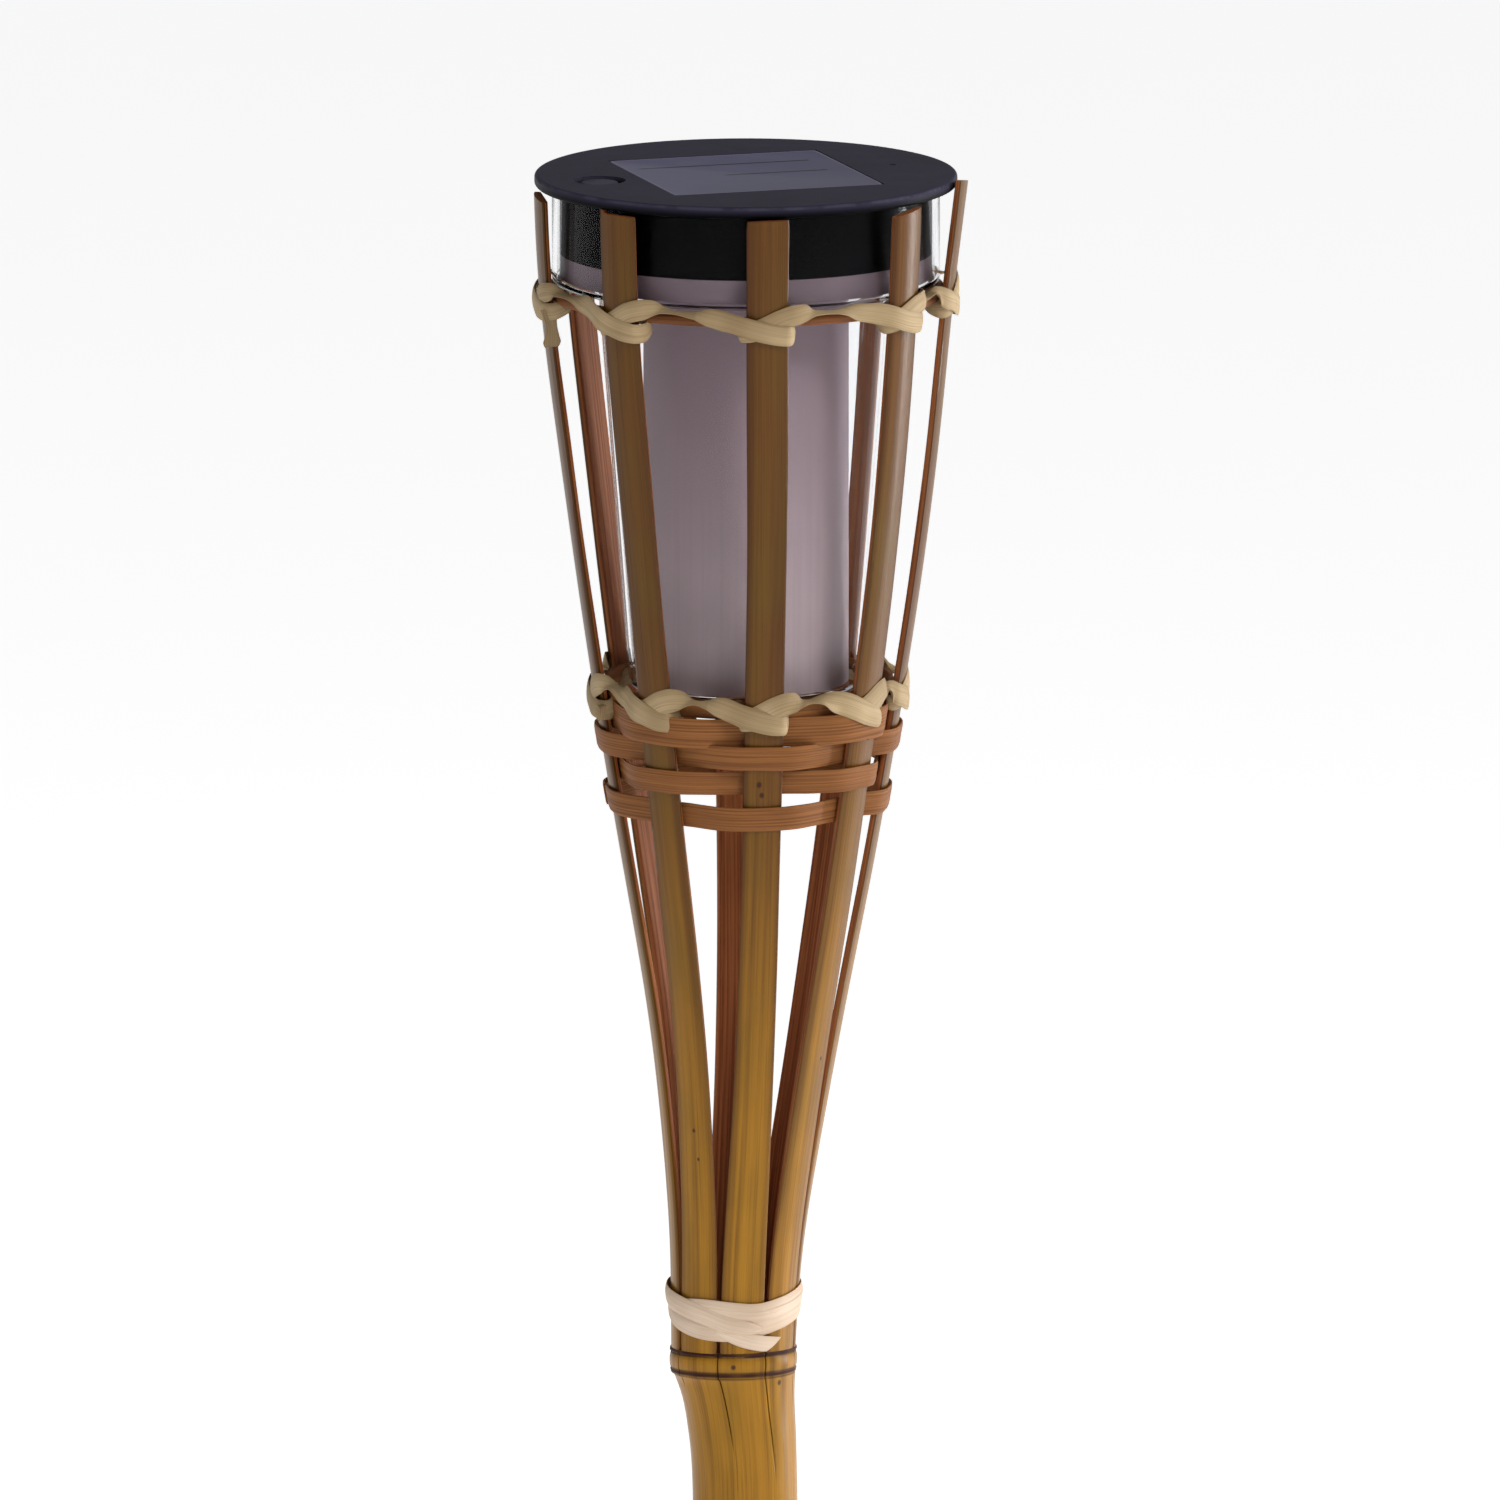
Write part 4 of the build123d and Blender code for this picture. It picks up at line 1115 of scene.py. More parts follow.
@dataclass
class Ribbon:
    """A flat strip swept along stations."""

    thick: float
    segments: int = 8
    ragged: float = 0.0
    tag: float = 0.0

    def sweep(self, shape: Shape, stations: Sequence[Station], step: float, slot: int = 0) -> None:
        """Adds the strip to a shape.

        Args:
            shape: The shape that takes it.
            stations: Where it goes, from end to end.
            step: The length of each of its bands, in metres.
            slot: Its finish.
        """
        lengths = [0.0]
        for first, second in zip(stations, stations[1:]):
            lengths.append(lengths[-1] + max((second.middle - first.middle).length, 1e-5))
        curve = eased([(at, *s.middle, *s.reach, s.cup) for at, s in zip(lengths, stations, strict=True)])
        count = max(2, round(lengths[-1] / step))
        rows = [curve(lengths[-1] * i / count) for i in range(count + 1)]
        middles = [Vector(row[:3]) for row in rows]
        ends = []
        previous: list[int] | None = None
        for i, row in enumerate(rows):
            along = (middles[min(i + 1, count)] - middles[max(i - 1, 0)]).normalized()
            reach, cup = Vector(row[3:6]), row[6]
            normal = along.cross(reach).normalized()
            at = lengths[-1] * i / count
            top, bottom = [], []
            for k in range(self.segments + 1):
                u = 2 * k / self.segments - 1
                edge = wobble((at * 140, self.tag, 3 * u), self.ragged) * abs(u) ** 3
                rise = cup * (1 - u * u) + wobble((at * 60, u * 2.2 + self.tag, 1.5), 0.06 * MM)
                side = reach * u + reach.normalized() * edge
                body = 0.5 * self.thick * (1 - 0.55 * abs(u) ** 6)
                grain = (u * reach.length + self.tag, 0.0, at)
                top.append(shape.point(middles[i] + side + normal * (rise + body), grain, abs(u) ** 4))
                bottom.append(shape.point(middles[i] + side + normal * (rise - body), grain, abs(u) ** 4))
            ringed = top + bottom[::-1]
            if previous is not None:
                shape.bridge(previous, ringed, [slot])
            previous = ringed
            ends.append(ringed)
        for ringed in (ends[0], ends[-1]):
            shape.cap(ringed, slot)


@dataclass
class Weaving:
    """The four woven strips and the two hoops."""

    slats: Slats
    thick: float = 0.8 * MM
    gap: float = 0.15 * MM
    lap: float = 26.0
    steps: int = 220
    hoop_lap: float = 38.0
    hoop_steps: int = 240
    hoop_sides: int = 12
    spread: tuple[tuple[float, float], ...] = ((0.6 * MM, 2.1 * MM), (0.0, 0.3 * MM), (0.0, 0.0), (0.0, 0.0))
    starts: tuple[float, ...] = (52.0, 200.0, 150.0, 245.0)

    def strip(self, row: int, split: bpy.types.Material) -> None:
        """Builds one woven strip.

        Args:
            row: Its number from the top, 1 to 4.
            split: Its finish.
        """
        node = f"woven_strip_{row}"
        low, high = (corner.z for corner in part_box(node))
        low, high = low - self.spread[row - 1][0], high + self.spread[row - 1][1]
        middle = (low + high) / 2
        knots = []
        for index, packed in enumerate(self.slats.packed):
            cut, upper, lower = packed.at(middle), packed.at(high), packed.at(low)
            outside = index % 2 == row % 2
            turn = (cut.half + self.thick) / cut.face.xy.length
            angle = math.atan2(cut.face.x, -cut.face.y)
            for side in (-turn, 0.0, turn):
                radii = []
                for c in (lower, upper):
                    away = c.face.xy.length + self.gap + self.thick / 2
                    radii.append(away if outside else away - c.thick - 2 * self.gap - self.thick)
                knots.append((angle + side, *radii))
        knots = sorted((a % TAU, low_r, high_r) for a, low_r, high_r in knots)
        before, after = [(a - TAU, *radii) for a, *radii in knots[-3:]], [(a + TAU, *radii) for a, *radii in knots[:3]]
        curve = eased(before + knots + after)
        start, lap = math.radians(self.starts[row - 1]), math.radians(self.lap)
        stations = []
        for i in range(self.steps + 1):
            angle = start + (TAU + lap) * i / self.steps
            lower_r, upper_r = curve(angle % TAU)
            from_start, from_end = angle - start, start + TAU + lap - angle
            # the first end lies inside and the last one outside it
            shift = 0.0
            if from_start < lap * 1.5:
                shift = -0.5 * self.thick * min(1.0, (lap * 1.5 - from_start) / (0.5 * lap))
            if from_end < lap * 1.5:
                shift = 0.5 * self.thick * min(1.0, (lap * 1.5 - from_end) / (0.5 * lap))
            drift = wobble((angle * 0.9, row * 3.1, 0), 0.5 * MM) + (0.5 * MM * shift / self.thick)
            out = Vector((math.sin(angle), -math.cos(angle), 0))
            bottom = out * (lower_r + shift) + Vector((0, 0, low + drift))
            top = out * (upper_r + shift) + Vector((0, 0, high + drift))
            stations.append(Station((top + bottom) / 2, (top - bottom) / 2))
        shape = Shape()
        Ribbon(self.thick * 0.92, 8, 0.12 * MM, row * 0.21).sweep(shape, stations, 1.3 * MM)
        install(shape.piece(f"woven_band_{row}", [split], 50), "basket", "woven_bamboo", node)

    def hoop(self, node: str, name: str, slot: str, finish: bpy.types.Material, start: float) -> None:
        """Builds a hoop from a split cane whose ends overlap.

        Args:
            node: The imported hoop.
            name: The piece's name.
            slot: The record's material slot.
            finish: Its finish.
            start: Where its ends lap, in degrees from the front.
        """
        verts = np.array([v.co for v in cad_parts[node].data.vertices], float)
        centre = (verts.min(0) + verts.max(0)) / 2
        radii = np.hypot(verts[:, 0] - centre[0], verts[:, 1] - centre[1])
        inner, outer = radii.min(), radii.max()
        half_height = (verts[:, 2].max() - verts[:, 2].min()) / 2
        full, lap, count = outer - inner, math.radians(self.hoop_lap), self.hoop_steps
        shape, rows = Shape(), []
        for i in range(count + 1):
            angle = math.radians(start) + (TAU + lap) * i / count
            begin = min(1.0, (TAU + lap) * i / count / lap)
            finish_share = min(1.0, (TAU + lap) * (1 - i / count) / lap)
            thick = full * (0.5 + 0.5 * min(begin, finish_share)) - 0.1 * MM
            middle = (inner + outer) / 2 - (1 - begin) * full / 4 + (1 - finish_share) * full / 4
            row = []
            for k in range(self.hoop_sides):
                a = TAU * k / self.hoop_sides
                box = max(abs(math.cos(a)), abs(math.sin(a))) ** 0.75
                r = middle + thick / 2 * math.cos(a) / box + wobble((angle * 4, k * 0.7, 1), 0.06 * MM)
                z = centre[2] + half_height * math.sin(a) / box * 0.97 + wobble((angle * 3, k * 0.4, 5), 0.08 * MM)
                place = Vector((centre[0] + r * math.sin(angle), centre[1] - r * math.cos(angle), z))
                row.append(shape.point(place, (4 * MM * k / self.hoop_sides + 0.3, 0, angle * outer)))
            rows.append(row)
        for first, second in zip(rows, rows[1:]):
            shape.bridge(first, second, [0])
        for row in (rows[0], rows[-1]):
            shape.cap(row, 0)
        install(shape.piece(name, [finish], 45), "basket", slot, node)

    def build(self, split: bpy.types.Material, cane: bpy.types.Material) -> None:
        """Builds the hoops and all strips.

        Args:
            split: Finish of the flat strips and the lower hoop.
            cane: Finish of the upper hoop.
        """
        self.hoop("upper_hoop", "rim_hoop", "cane_hoop", cane, 205)
        self.hoop("lower_hoop", "waist_hoop", "woven_bamboo", split, 160)
        for row in range(1, 5):
            self.strip(row, split)


# ---------------------------------------------------------------- raffia


@dataclass(frozen=True)
class Stitch:
    """One place in the stitch round a slat, in millimetres and degrees.

    along is measured from the slat's middle round the hoop, out from its skin, up from the hoop's
    middle. roll turns the ribbon's flat side: 0 faces outwards and 90 faces up. wide is its width.
    """

    along: float
    out: float
    up: float
    roll: float
    wide: float
    lean: float = 0.0


def stitches(*rows: tuple[float, ...]) -> tuple[Stitch, ...]:
    """Makes one stitch of each row of its numbers."""
    return tuple(Stitch(*row) for row in rows)


class Knot(Enum):
    """The two hoop lashings' stitches, in order along the ribbon."""

    UPPER = stitches(
        (-19.5, -2.0, 1.9, 62, 3.6, 0), (-16.5, -1.7, 1.5, 28, 4.4, -4), (-12.5, -1.2, 1.0, 8, 5.0, -8),
        (-8.5, -0.1, 0.2, 0, 5.2, -14), (-5.0, 1.05, -0.8, 0, 5.2, -20), (-1.5, 1.25, -2.0, 0, 5.2, -18),
        (2.5, 1.20, -3.0, 0, 5.1, -10), (5.6, 0.60, -3.4, -8, 4.9, 0), (7.0, -1.6, -3.2, -10, 4.6, 0),
        (6.6, -5.0, -1.8, -30, 4.0, 0), (2.0, -6.6, -0.3, 0, 4.4, 10), (-3.0, -6.5, -1.2, 0, 4.4, -10),
        (-6.4, -4.4, -2.6, 25, 4.0, 0), (-7.0, -1.4, -2.9, 10, 4.2, 10), (-5.0, 0.35, -2.4, 0, 4.7, 24),
        (-1.0, 0.50, -0.8, 0, 5.0, 26), (3.5, 0.45, 1.3, 0, 5.2, 24), (7.5, -0.1, 2.3, 0, 5.0, 10),
        (10.4, -0.9, 2.6, 20, 4.2, -6), (12.6, -1.6, 2.3, 66, 3.4, -8), (15.5, -1.9, 2.0, 84, 3.2, -4),
    )  # fmt: skip
    LOWER = stitches(
        (-15.4, -1.7, 2.1, 60, 3.8, 0), (-13.0, -1.3, 1.7, 26, 4.8, -6), (-10.0, -0.8, 1.1, 6, 5.6, -14),
        (-7.0, 0.3, 0.2, 0, 5.9, -22), (-4.5, 1.05, -0.8, 0, 5.9, -24), (-1.0, 1.25, -2.1, 0, 5.8, -20),
        (2.5, 1.20, -3.1, 0, 5.6, -10), (5.0, 0.60, -3.5, -6, 5.2, 0), (6.3, -1.5, -3.3, -10, 4.8, 0),
        (6.0, -4.2, -1.8, -30, 4.2, 0), (2.0, -5.6, -0.4, 0, 4.4, 10), (-2.6, -5.5, -1.0, 0, 4.4, -10),
        (-5.6, -3.9, -2.4, 25, 4.2, 0), (-6.3, -1.3, -2.7, 10, 4.6, 12), (-4.4, 0.35, -2.0, 0, 5.4, 26),
        (-0.6, 0.50, -0.3, 0, 5.8, 28), (3.2, 0.45, 1.7, 0, 5.9, 20), (6.4, -0.1, 2.6, 0, 5.5, 4),
        (8.8, -0.8, 2.5, 24, 4.6, -10), (10.6, -1.4, 2.2, 66, 3.6, -10), (12.6, -1.6, 2.1, 82, 3.3, -4),
    )  # fmt: skip


@dataclass
class Lashings:
    """Raffia ribbon round the two hoops and the foot of the slats.

    Each row of winding and of end is an angle in degrees from the front, then a height, a distance off
    the slats and a width, in millimetres.
    """

    slats: Slats
    thick: float = 0.38 * MM
    cup: float = 0.28 * MM
    slant: float = 2.2 * MM
    tail_slat: int = 6
    winding: tuple[tuple[float, float, float, float], ...] = (
        (24, 2.9, 1.75, 1.2), (14, 3.1, 1.7, 3.6), (-4, 4.0, 1.65, 4.9), (-25, 6.2, 1.6, 5.2), (-45, 7.5, 1.55, 5.2),
        (-80, 8.9, 1.5, 5.2), (-115, 9.6, 1.3, 5.0), (-150, 8.6, 1.15, 5.0), (-180, 7.0, 1.05, 5.0),
        (-230, 4.9, 0.9, 5.0), (-280, 5.9, 0.75, 5.3), (-315, 4.6, 0.7, 5.4), (-338, 3.3, 0.65, 5.4),
        (-360, 2.4, 0.6, 5.2), (-385, 2.2, 0.6, 5.0), (-405, 2.8, 0.6, 4.9), (-440, 4.6, 0.6, 5.0),
        (-475, 6.0, 0.7, 5.0), (-510, 7.0, 1.3, 5.0), (-540, 8.2, 1.5, 5.0), (-590, 9.5, 1.4, 5.0),
        (-640, 9.3, 1.25, 5.2), (-675, 7.9, 1.15, 5.2), (-698, 7.0, 1.1, 5.2), (-720, 7.4, 1.1, 5.2),
        (-745, 8.1, 1.0, 4.8), (-775, 7.6, 0.9, 4.2), (-800, 6.8, 0.7, 3.4),
    )  # fmt: skip
    end: tuple[tuple[float, float, float, float], ...] = (
        (-16, 2.6, 0.95, 2.6), (-4, 1.6, 1.0, 4.2), (10, 0.2, 1.3, 4.4), (24, -0.9, 1.6, 4.0), (37, -1.5, 1.8, 3.2),
    )  # fmt: skip

    def hoop_stations(self, knot: Knot, height: float, stretch: Sequence[float]) -> list[Station]:
        """Lays the ribbon round a hoop.

        Args:
            knot: The stitch.
            height: The hoop's middle.
            stretch: A factor for each slat's stitch, so that no two are alike.

        Returns:
            The ribbon's stations, all the way round and a little over.
        """
        stations = []
        cuts = [packed.at(height) for packed in self.slats.packed]
        for index, cut in enumerate(cuts):
            radius = cut.face.xy.length
            angle = math.atan2(cut.face.x, -cut.face.y)
            gaps = []
            for other in (cuts[index - 1], cuts[(index + 1) % len(cuts)]):
                away = abs(math.remainder(math.atan2(other.face.x, -other.face.y) - angle, TAU)) * radius
                gaps.append(away / (radius * TAU / 8))
            for s in knot.value:
                reach = cut.half + 2 * MM
                along = s.along * MM
                if abs(along) > reach:
                    spread = gaps[0] if along < 0 else gaps[1]
                    along = math.copysign(reach + (abs(along) - reach) * max(0.35, 1 + 2.2 * (spread - 1)), along)
                turn = angle + along / radius
                z = height + s.up * MM * stretch[index]
                lean_in = self.slats.packed[index].at(z).face.xy.length - radius
                outward = Vector((math.sin(turn), -math.cos(turn), 0))
                place = outward * (radius + s.out * MM + lean_in)
                place.z = z + wobble((index * 2.7, s.along * 0.1, 0.3), 0.35 * MM)
                tangent = Vector((math.cos(turn), math.sin(turn), 0))
                roll, lean = math.radians(s.roll), math.radians(s.lean)
                up = Vector((0, 0, 1)) * math.cos(lean) - tangent * math.sin(lean)
                side = up * math.cos(roll) - outward * math.sin(roll)
                wide = s.wide * MM / 2 * (1 + wobble((index * 1.7, s.along * 0.2, 9), 0.12))
                stations.append(Station(place, side * wide, self.cup))
        return stations

    def hoop_lashing(self, knot: Knot, node: str, hoop: str, name: str, raffia: bpy.types.Material) -> None:
        """Builds one hoop's lashing.

        Args:
            knot: The stitch.
            node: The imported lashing.
            hoop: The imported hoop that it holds.
            name: The piece's name.
            raffia: Its finish.
        """
        low, high = (corner.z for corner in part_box(hoop))
        stretch = [1.0 + 0.12 * math.sin(index * 2.4 + len(name)) for index in range(8)]
        stations = self.hoop_stations(knot, (low + high) / 2, stretch)
        shape = Shape()
        Ribbon(self.thick, 8, 0.25 * MM, 0.05).sweep(shape, stations + stations[:1], 0.7 * MM)
        self.tail(shape, knot, (low + high) / 2)
        install(shape.piece(name, [raffia], 60), "basket", "raffia", node)

    def tail(self, shape: Shape, knot: Knot, height: float) -> None:
        """Adds the ribbon's loose end, which hangs by the left slat.

        Args:
            shape: The shape that takes it.
            knot: Which lashing it belongs to.
            height: The hoop's middle.
        """
        slat = self.slats.packed[self.tail_slat]
        cut = slat.at(height)
        outward, across = cut.outward, cut.across
        hang = 1.0 if knot is Knot.UPPER else 0.55
        rows = (
            (6.2, -0.6, -2.5, 4.4),
            (6.6, -0.8, -5.0 * hang, 3.6),
            (6.5, -1.0, -7.5 * hang, 3.2),
            (6.4, -0.8, -9.5 * hang, 4.2),
            (6.3, -0.6, -11.2 * hang, 4.8),
            (6.2, -0.4, -12.2 * hang, 3.6),
        )
        stations = []
        for along, out, up, wide in rows:
            lean = slat.at(height + up * MM).face.xy.length - cut.face.xy.length
            place = cut.face + across * along * MM + outward * (out * MM + lean) + Vector((0, 0, up * MM))
            stations.append(Station(place, (outward + across * 0.35).normalized() * wide * MM / 2, 0.4 * MM))
        Ribbon(self.thick, 8, 0.55 * MM, 0.9).sweep(shape, stations, 0.6 * MM)

    def base_lashing(self, raffia: bpy.types.Material) -> None:
        """Builds the ribbon wound round the foot of the slats."""
        low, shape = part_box("base_lashing")[0].z, Shape()
        self.wind(shape, self.winding, low, 0.45)
        self.wind(shape, self.end, low, 0.75, self.slant)
        install(shape.piece("base_raffia", [raffia], 60), "basket", "raffia", "base_lashing")

    def wind(
        self,
        shape: Shape,
        rows: Sequence[tuple[float, float, float, float]],
        low: float,
        tag: float,
        slant: float = 0.0,
    ) -> None:
        """Winds ribbon round the foot of the slats.

        Args:
            shape: The shape that takes it.
            rows: The ribbon's course, as winding and end give it.
            low: The lashing's lowest height.
            tag: Sets this ribbon's unevenness apart.
            slant: How far the cut at its first end leans, in metres.
        """
        curve = eased([(-angle, up, off, wide) for angle, up, off, wide in sorted(rows, key=lambda r: -r[0])])
        first, last = -max(r[0] for r in rows), -min(r[0] for r in rows)
        stations = []
        feet = [packed.at(low + 4 * MM) for packed in self.slats.packed]
        centre = sum((cut.face.xy for cut in feet), Vector((0, 0))) / len(feet)
        radius = sum((cut.face.xy - centre).length for cut in feet) / len(feet)
        count = max(4, round((last - first) / 5))
        for i in range(count + 1):
            at = first + (last - first) * i / count
            up, off, wide = curve(at)
            a = math.radians(-at)
            outward = Vector((math.sin(a), -math.cos(a), 0))
            tangent = Vector((math.cos(a), math.sin(a), 0))
            lean = slant * max(0.0, 1 - (at - first) / 16)
            grow = 0.05 * (up - 4) * MM
            place = outward * (radius + (0.62 * off - 0.30) * MM + grow)
            stations.append(
                Station(
                    Vector((centre.x + place.x, centre.y + place.y, low + up * MM)),
                    (Vector((0, 0, 1)) + outward * 0.06).normalized() * wide * MM / 2 + tangent * lean,
                    -0.40 * MM,
                )
            )
        Ribbon(self.thick, 10, 0.12 * MM, tag).sweep(shape, stations, 0.8 * MM)

    def build(self, raffia: bpy.types.Material, pale: bpy.types.Material) -> None:
        """Builds all three lashings.

        Args:
            raffia: Finish of the hoop lashings.
            pale: Finish of the base lashing.
        """
        self.hoop_lashing(Knot.UPPER, "upper_lashing", "upper_hoop", "rim_raffia", raffia)
        self.hoop_lashing(Knot.LOWER, "lower_lashing", "lower_hoop", "waist_raffia", raffia)
        self.base_lashing(pale)


# ---------------------------------------------------------------- lantern


def lathe(shape: Shape, outline: Sequence[tuple[float, float]], columns: int = 144, slot: int = 0) -> None:
    """Turns a closed outline round the Z axis.

    Args:
        shape: The shape that takes it.
        outline: Its (radius, height) points. Those on the axis close the ends.
        columns: How many steps go round.
        slot: Its finish.
    """
    rows = []
    for radius, z in outline:
        if radius == 0:
            rows.append([shape.point(Vector((0, 0, z)), (0, 0, z))])
            continue
        row = []
        for i in range(columns):
            a = TAU * i / columns
            place = Vector((radius * math.sin(a), -radius * math.cos(a), z))
            row.append(shape.point(place, (a * radius, radius, z)))
        rows.append(row)
    for first, second in zip(rows, rows[1:] + rows[:1]):
        if len(first) == len(second) == 1:
            continue
        if len(first) == 1 or len(second) == 1:
            tip, round_row = (first[0], second) if len(first) == 1 else (second[0], first)
            for i in range(columns):
                shape.face((round_row[i], round_row[(i + 1) % columns], tip), slot)
        else:
            shape.bridge(first, second, [slot])


def rounded(points: Sequence[tuple[float, float, float]], steps: int = 5) -> list[tuple[float, float]]:
    """Rounds the corners of an outline.

    Args:
        points: Its (radius, height, corner radius) points.
        steps: How many points make each rounded corner.

    Returns:
        The finer outline.
    """
    made = []
    for i, (r, z, bend) in enumerate(points):
        here = Vector((r, z))
        before, after = Vector(points[i - 1][:2]), Vector(points[(i + 1) % len(points)][:2])
        if bend <= 0:
            made.append((r, z))
            continue
        back, ahead = (before - here).normalized(), (after - here).normalized()
        start, end = here + back * bend, here + ahead * bend
        for k in range(steps + 1):
            t = k / steps
            p = start * (1 - t) ** 2 + here * 2 * t * (1 - t) + end * t * t
            made.append((p.x, p.y))
    return made


@dataclass
class LanternCup:
    """The clear cup and the frosted film rolled inside it."""

    wall: float = 1.1 * MM
    film: float = 0.4 * MM
    seam: float = 22.0
    seam_at: float = 168.0
    film_steps: int = 150

    def radii(self) -> tuple[float, float, float, float, float]:
        """Reads the cup's floor, neck and collar radii and its floor and shoulder heights from its node."""
        verts = np.array([v.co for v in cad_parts["clear_cup"].data.vertices], float)
        radius = np.hypot(verts[:, 0], verts[:, 1])
        floor_z, collar = verts[:, 2].min(), radius.max()
        floor_r = radius[np.abs(verts[:, 2] - floor_z) < 1e-5].max()
        shoulder = verts[radius > collar - 1e-5][:, 2].min()
        ledge = radius[np.abs(verts[:, 2] - shoulder) < 1e-5]
        return floor_r, ledge.min(), collar, floor_z, shoulder

    def build(self, clear: bpy.types.Material, film: bpy.types.Material) -> None:
        """Builds the cup and the film.

        Args:
            clear: The cup's finish.
            film: The film's finish.
        """
        floor_r, neck, collar, floor_z, shoulder = self.radii()
        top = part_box("clear_cup")[1].z
        w = self.wall
        outline = rounded(
            [
                (0.0, floor_z, 0),
                (floor_r, floor_z, 1.2 * MM),
                (neck, shoulder, 0.8 * MM),
                (collar, shoulder, 1.0 * MM),
                (collar, top - 1.2 * MM, 0),
                (collar, top, 0.35 * MM),
                (collar - w, top, 0.35 * MM),
                (collar - w, shoulder + w, 0.5 * MM),
                (neck - w, shoulder + w, 0.5 * MM),
                (floor_r - w, floor_z + w, 0.8 * MM),
                (0.0, floor_z + w, 0),
            ]
        )
        shape = Shape()
        lathe(shape, outline)
        install(shape.piece("cup_clear", [clear], 50), "lantern_cup", "clear_plastic", "clear_cup")
        self.roll_film(film)

    def roll_film(self, film: bpy.types.Material) -> None:
        """Builds the film, rolled so that its ends lap at the seam."""
        low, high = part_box("frosted_sleeve")
        shape, rows, count = Shape(), [], self.film_steps
        lap, start = math.radians(self.seam), math.radians(self.seam_at)
        for i in range(count + 1):
            angle = start + (TAU + lap) * i / count
            inset = self.film * (0.55 + 0.6 * (1 - i / count))
            uneven = wobble((math.sin(angle), math.cos(angle), 4), 0.12 * MM)
            row = []
            for r, z in self.film_edge(high.x - inset + uneven, low.z, high.z):
                row.append(shape.point(Vector((r * math.sin(angle), -r * math.cos(angle), z)), (angle * r, 0, z)))
            rows.append(row)
        for first, second in zip(rows, rows[1:]):
            shape.bridge(first, second, [0])
        for row in (rows[0], rows[-1]):
            shape.cap(row, 0)
        install(shape.piece("frosted_film", [film], 50), "lantern_cup", "frosted_film", "frosted_sleeve")

    def film_edge(self, radius: float, low: float, high: float) -> list[tuple[float, float]]:
        """Gives the film's cross-section, up its outside and down its inside."""
        heights = [low + (high - low) * i / 12 for i in range(13)]
        half = self.film * 0.4
        return [(radius + half, z) for z in heights] + [(radius - half, z) for z in reversed(heights)]


# ---------------------------------------------------------------- solar cap


@dataclass
class SolarCell:
    """The square cell in the lid, set in clear resin with a raised bead."""

    node: str = "solar_cell"
    dome: float = 0.55 * MM
    room: float = 0.2 * MM
    grid: int = 24

    def __post_init__(self) -> None:
        """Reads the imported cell's centre, its two directions, half its side and its two heights."""
        verts = np.array([v.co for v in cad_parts[self.node].data.vertices], float)
        self.low, self.high = verts[:, 2].min(), verts[:, 2].max()
        self.centre = Vector((*(verts.min(0) + verts.max(0))[:2] / 2, 0))
        corner = Vector(verts[verts[:, 0].argmax()][:2]) - self.centre.xy
        turn = math.atan2(corner.y, corner.x) + math.pi / 4
        self.side = Vector((math.cos(turn), math.sin(turn), 0))
        self.along = Vector((-math.sin(turn), math.cos(turn), 0))
        self.half = corner.length / math.sqrt(2)

    def build(self, finish: bpy.types.Material) -> None:
        """Builds the cell.

        Args:
            finish: Its finish.
        """
        shape, rows = Shape(), []
        crest = self.high + self.dome
        # the third number of each level is its share of the bead's painted highlight
        levels = (
            (1.0, self.low, 1.0),
            (1.0, crest - 0.4 * MM, 0.0),
            (0.998, crest - 0.12 * MM, 0.5),
            (0.990, crest, 1.0),
            (0.982, crest - 0.01 * MM, 0.8),
            (0.972, crest - 0.10 * MM, 0.0),
        )
        for share, z, rim in levels:
            row = []
            for corner in range(4):
                for k in range(self.grid):
                    t = 2 * k / self.grid - 1
                    u, v = ((t, -1), (1, t), (-t, 1), (-1, -t))[corner]
                    soft = 1 - 0.12 * max(0.0, abs(t) - 0.9)
                    u, v = (c * (self.half + self.room) * share * soft for c in (u, v))
                    place = self.centre + self.side * u + self.along * v + Vector((0, 0, z))
                    row.append(shape.point(place, (u, v, z), rim))
            rows.append(row)
        for first, second in zip(rows, rows[1:]):
            shape.bridge(first, second, [0])
        shape.face(rows[0], 0)
        shape.face(rows[-1], 0)
        install(shape.piece("cell_panel", [finish], 35), "solar_cap", "solar_glass", self.node)


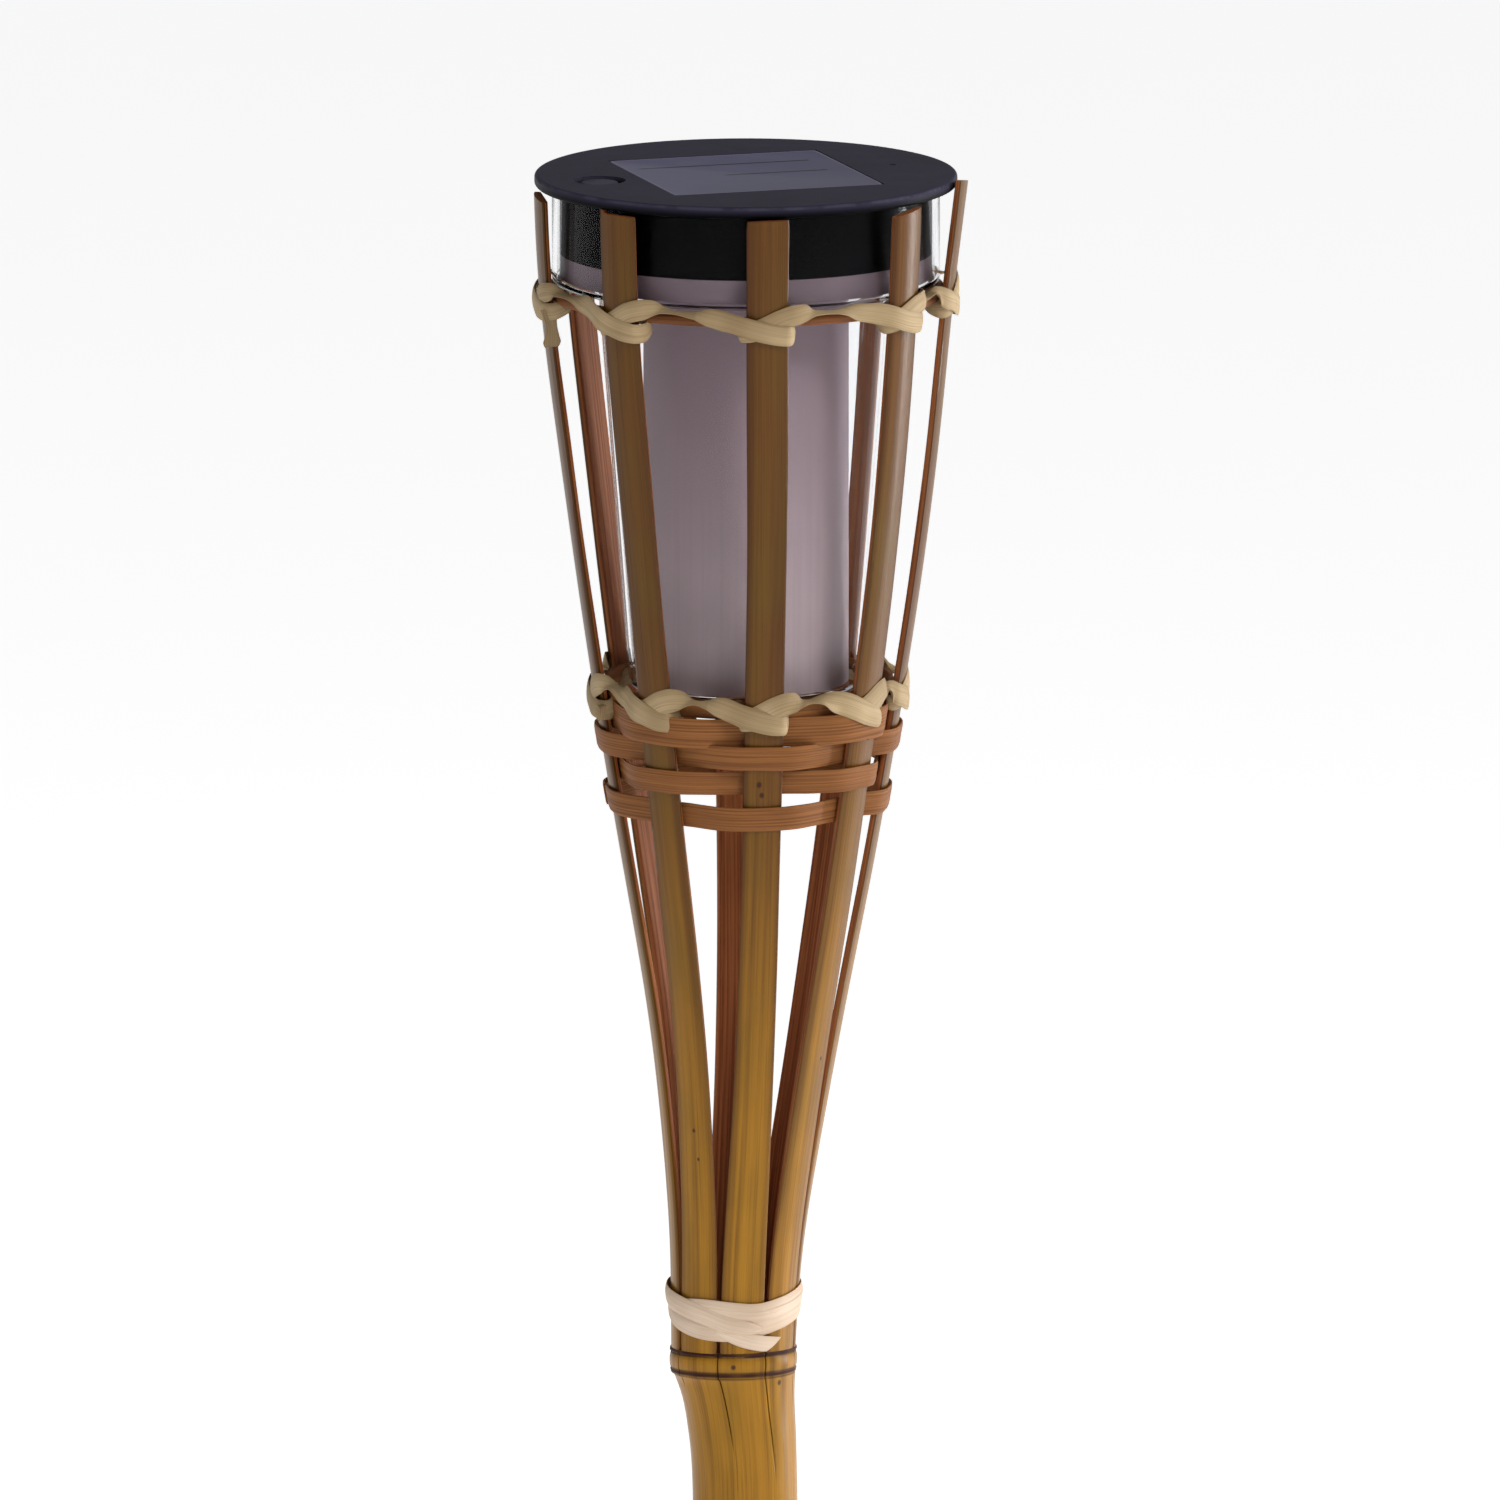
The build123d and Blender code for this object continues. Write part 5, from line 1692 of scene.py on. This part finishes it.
@dataclass
class SolarCap:
    """The lid and what is inside it."""

    def build(self) -> None:
        """Builds the cell and dresses the cap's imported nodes."""
        SolarCell().build(CellFinish("cell_wafer").build())
        steel = MetalFinish("zinc_screw", (0.55, 0.55, 0.56, 1.0), 0.3).build()
        nickel = MetalFinish("nickel_contact", (0.7, 0.68, 0.62, 1.0), 0.22).build()
        lead = MouldedFinish("lead_cover", Plastic.LEAD).build()
        switch = MouldedFinish("switch_case", Plastic.SWITCH).build()
        lid = CapFinish("lid_black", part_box("cap_shell")[1].z).build()
        dressed = {
            "cap_shell": lid,
            "power_button": lid,
            # painted shade: the white base plate is given a dark grey-lilac
            "base_plate": MouldedFinish("base_white_in_painted_shade", Plastic.WHITE_IN_PAINTED_SHADE).build(),
            "circuit_board": MouldedFinish("board_mask", Plastic.BOARD).build(),
            "battery": MouldedFinish("battery_wrap", Plastic.SLEEVE).build(),
            "lamp": ClearFinish("lamp_resin", (0.95, 0.88, 0.62, 1.0), 0.08, 1.5).build(),
            "push_switch": switch,
            "switch_plunger": switch,
            "base_screws": steel,
            "board_screws": steel,
            "battery_contact_plus": nickel,
            "battery_contact_minus": nickel,
            "panel_leads": lead,
            "battery_leads": lead,
        }
        for name, finish in dressed.items():
            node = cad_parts[name]
            if not node.material_slots:
                node.data.materials.append(finish)
            for material_slot in node.material_slots:
                material_slot.material = finish
            log.info("%s: dressed with %s", name, finish.name)


# ---------------------------------------------------------------- studio


@dataclass
class Studio:
    """Pale floor, soft lights and a long-lens camera."""

    reach: float = 150.0
    distance: float = 6.0
    pitch: float = 10.93
    look_height: float = 0.3312
    look_side: float = 0.00104
    lens: float = 567.0
    sensor: float = 36.0
    glow: float = 0.3
    aim: float = 0.35

    def light(
        self, name: str, place: Sequence[float], size: tuple[float, float], power: float, colour: Sequence[float]
    ) -> None:
        """Adds a soft light that faces the lantern.

        Args:
            name: Its name.
            place: Where it stands.
            size: Its width and height, in metres.
            power: Its power, in watts.
            colour: Its colour.
        """
        data = bpy.data.lights.new(name, "AREA")
        data.shape, data.energy, data.color = "RECTANGLE", power, colour
        data.size, data.size_y = size
        lamp = bpy.data.objects.new(name, data)
        lamp.location = place
        lamp.rotation_mode = "QUATERNION"
        lamp.rotation_quaternion = (Vector((0, 0, self.aim)) - Vector(place)).to_track_quat("-Z", "Y")
        bpy.context.scene.collection.objects.link(lamp)

    def build(self) -> None:
        """Sets up the floor, the lights, the world and the camera."""
        scene = bpy.context.scene
        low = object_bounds()[0].z
        shape = Shape()
        lathe(shape, [(0, low), (0.5, low), (self.reach, low), (self.reach, low - 0.01), (0, low - 0.01)], 96)
        floor = shape.piece("floor", [FloorFinish("floor_paper").build()])
        floor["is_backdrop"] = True
        world = bpy.data.worlds.new("studio")
        scene.world = world
        world.use_nodes = True
        nodes, links = world.node_tree.nodes, world.node_tree.links
        seen, span = nodes.new("ShaderNodeLightPath"), nodes.new("ShaderNodeMapRange")
        span.inputs["To Min"].default_value, span.inputs["To Max"].default_value = self.glow, 1.0
        links.new(seen.outputs["Is Camera Ray"], span.inputs["Value"])
        links.new(span.outputs["Result"], nodes["Background"].inputs["Strength"])
        nodes["Background"].inputs["Color"].default_value = (0.99, 0.99, 1.0, 1.0)
        self.light("key", (1.6, -2.5, 2.3), (1.0, 1.0), 50, (1.0, 0.985, 0.96))
        self.light("streak", (1.55, 0.5, 0.5), (0.10, 1.5), 26, (0.96, 0.97, 1.0))
        self.light("left", (-2.6, -0.9, 1.2), (0.8, 1.6), 0.5, (0.96, 0.97, 1.0))
        camera_data = bpy.data.cameras.new("camera")
        camera_data.sensor_width, camera_data.lens = self.sensor, self.lens
        camera_data.clip_start, camera_data.clip_end = 0.5, 400.0
        camera = bpy.data.objects.new("camera", camera_data)
        scene.collection.objects.link(camera)
        pitch = math.radians(self.pitch)
        back = Vector((0, -math.cos(pitch), math.sin(pitch)))
        camera.location = Vector((self.look_side, 0, self.look_height)) + back * self.distance
        camera.rotation_mode = "QUATERNION"
        camera.rotation_quaternion = (-back).to_track_quat("-Z", "Y")
        scene.camera = camera
        scene.view_settings.view_transform = "Standard"


def main() -> None:
    """Builds the torch from the ground up, then the studio round it."""
    logging.basicConfig(level=logging.INFO, format="%(name)s %(message)s")
    split = SplitFinish("split_bamboo").build()
    woven = SplitFinish("woven_split", shade(142, 92, 50), shade(90, 52, 26)).build()
    cane = SplitFinish("cane_hoop", shade(132, 84, 50), shade(82, 46, 26)).build()
    culm_skin = SkinFinish("culm_skin", specks=(Speck(0.5, 0.1742, 0.0007), Speck(0.5111, 0.1690, 0.0008)))
    slat_skin = SkinFinish(
        "slat_skin",
        specks=(
            Speck(-0.0010, 0.3293, 0.0009),
            Speck(-0.0003, 0.3265, 0.0008),
            Speck(0.7005, 0.236, 0.0006),
            Speck(0.7015, 0.2285, 0.0005),
            Speck(0.1020, 0.254, 0.0006),
        ),
    )
    Pole().build(culm_skin.build(), split)
    slats = Slats()
    slats.build(slat_skin.build(), split)
    Weaving(slats).build(woven, cane)
    Lashings(slats).build(
        RaffiaFinish("raffia").build(), RaffiaFinish("raffia_pale", shade(222, 200, 178), shade(184, 156, 128)).build()
    )
    LanternCup().build(ClearFinish("cup_plastic").build(), FilmFinish("frosted_film").build())
    SolarCap().build()
    Studio().build()


if __name__ == "__main__":
    main()
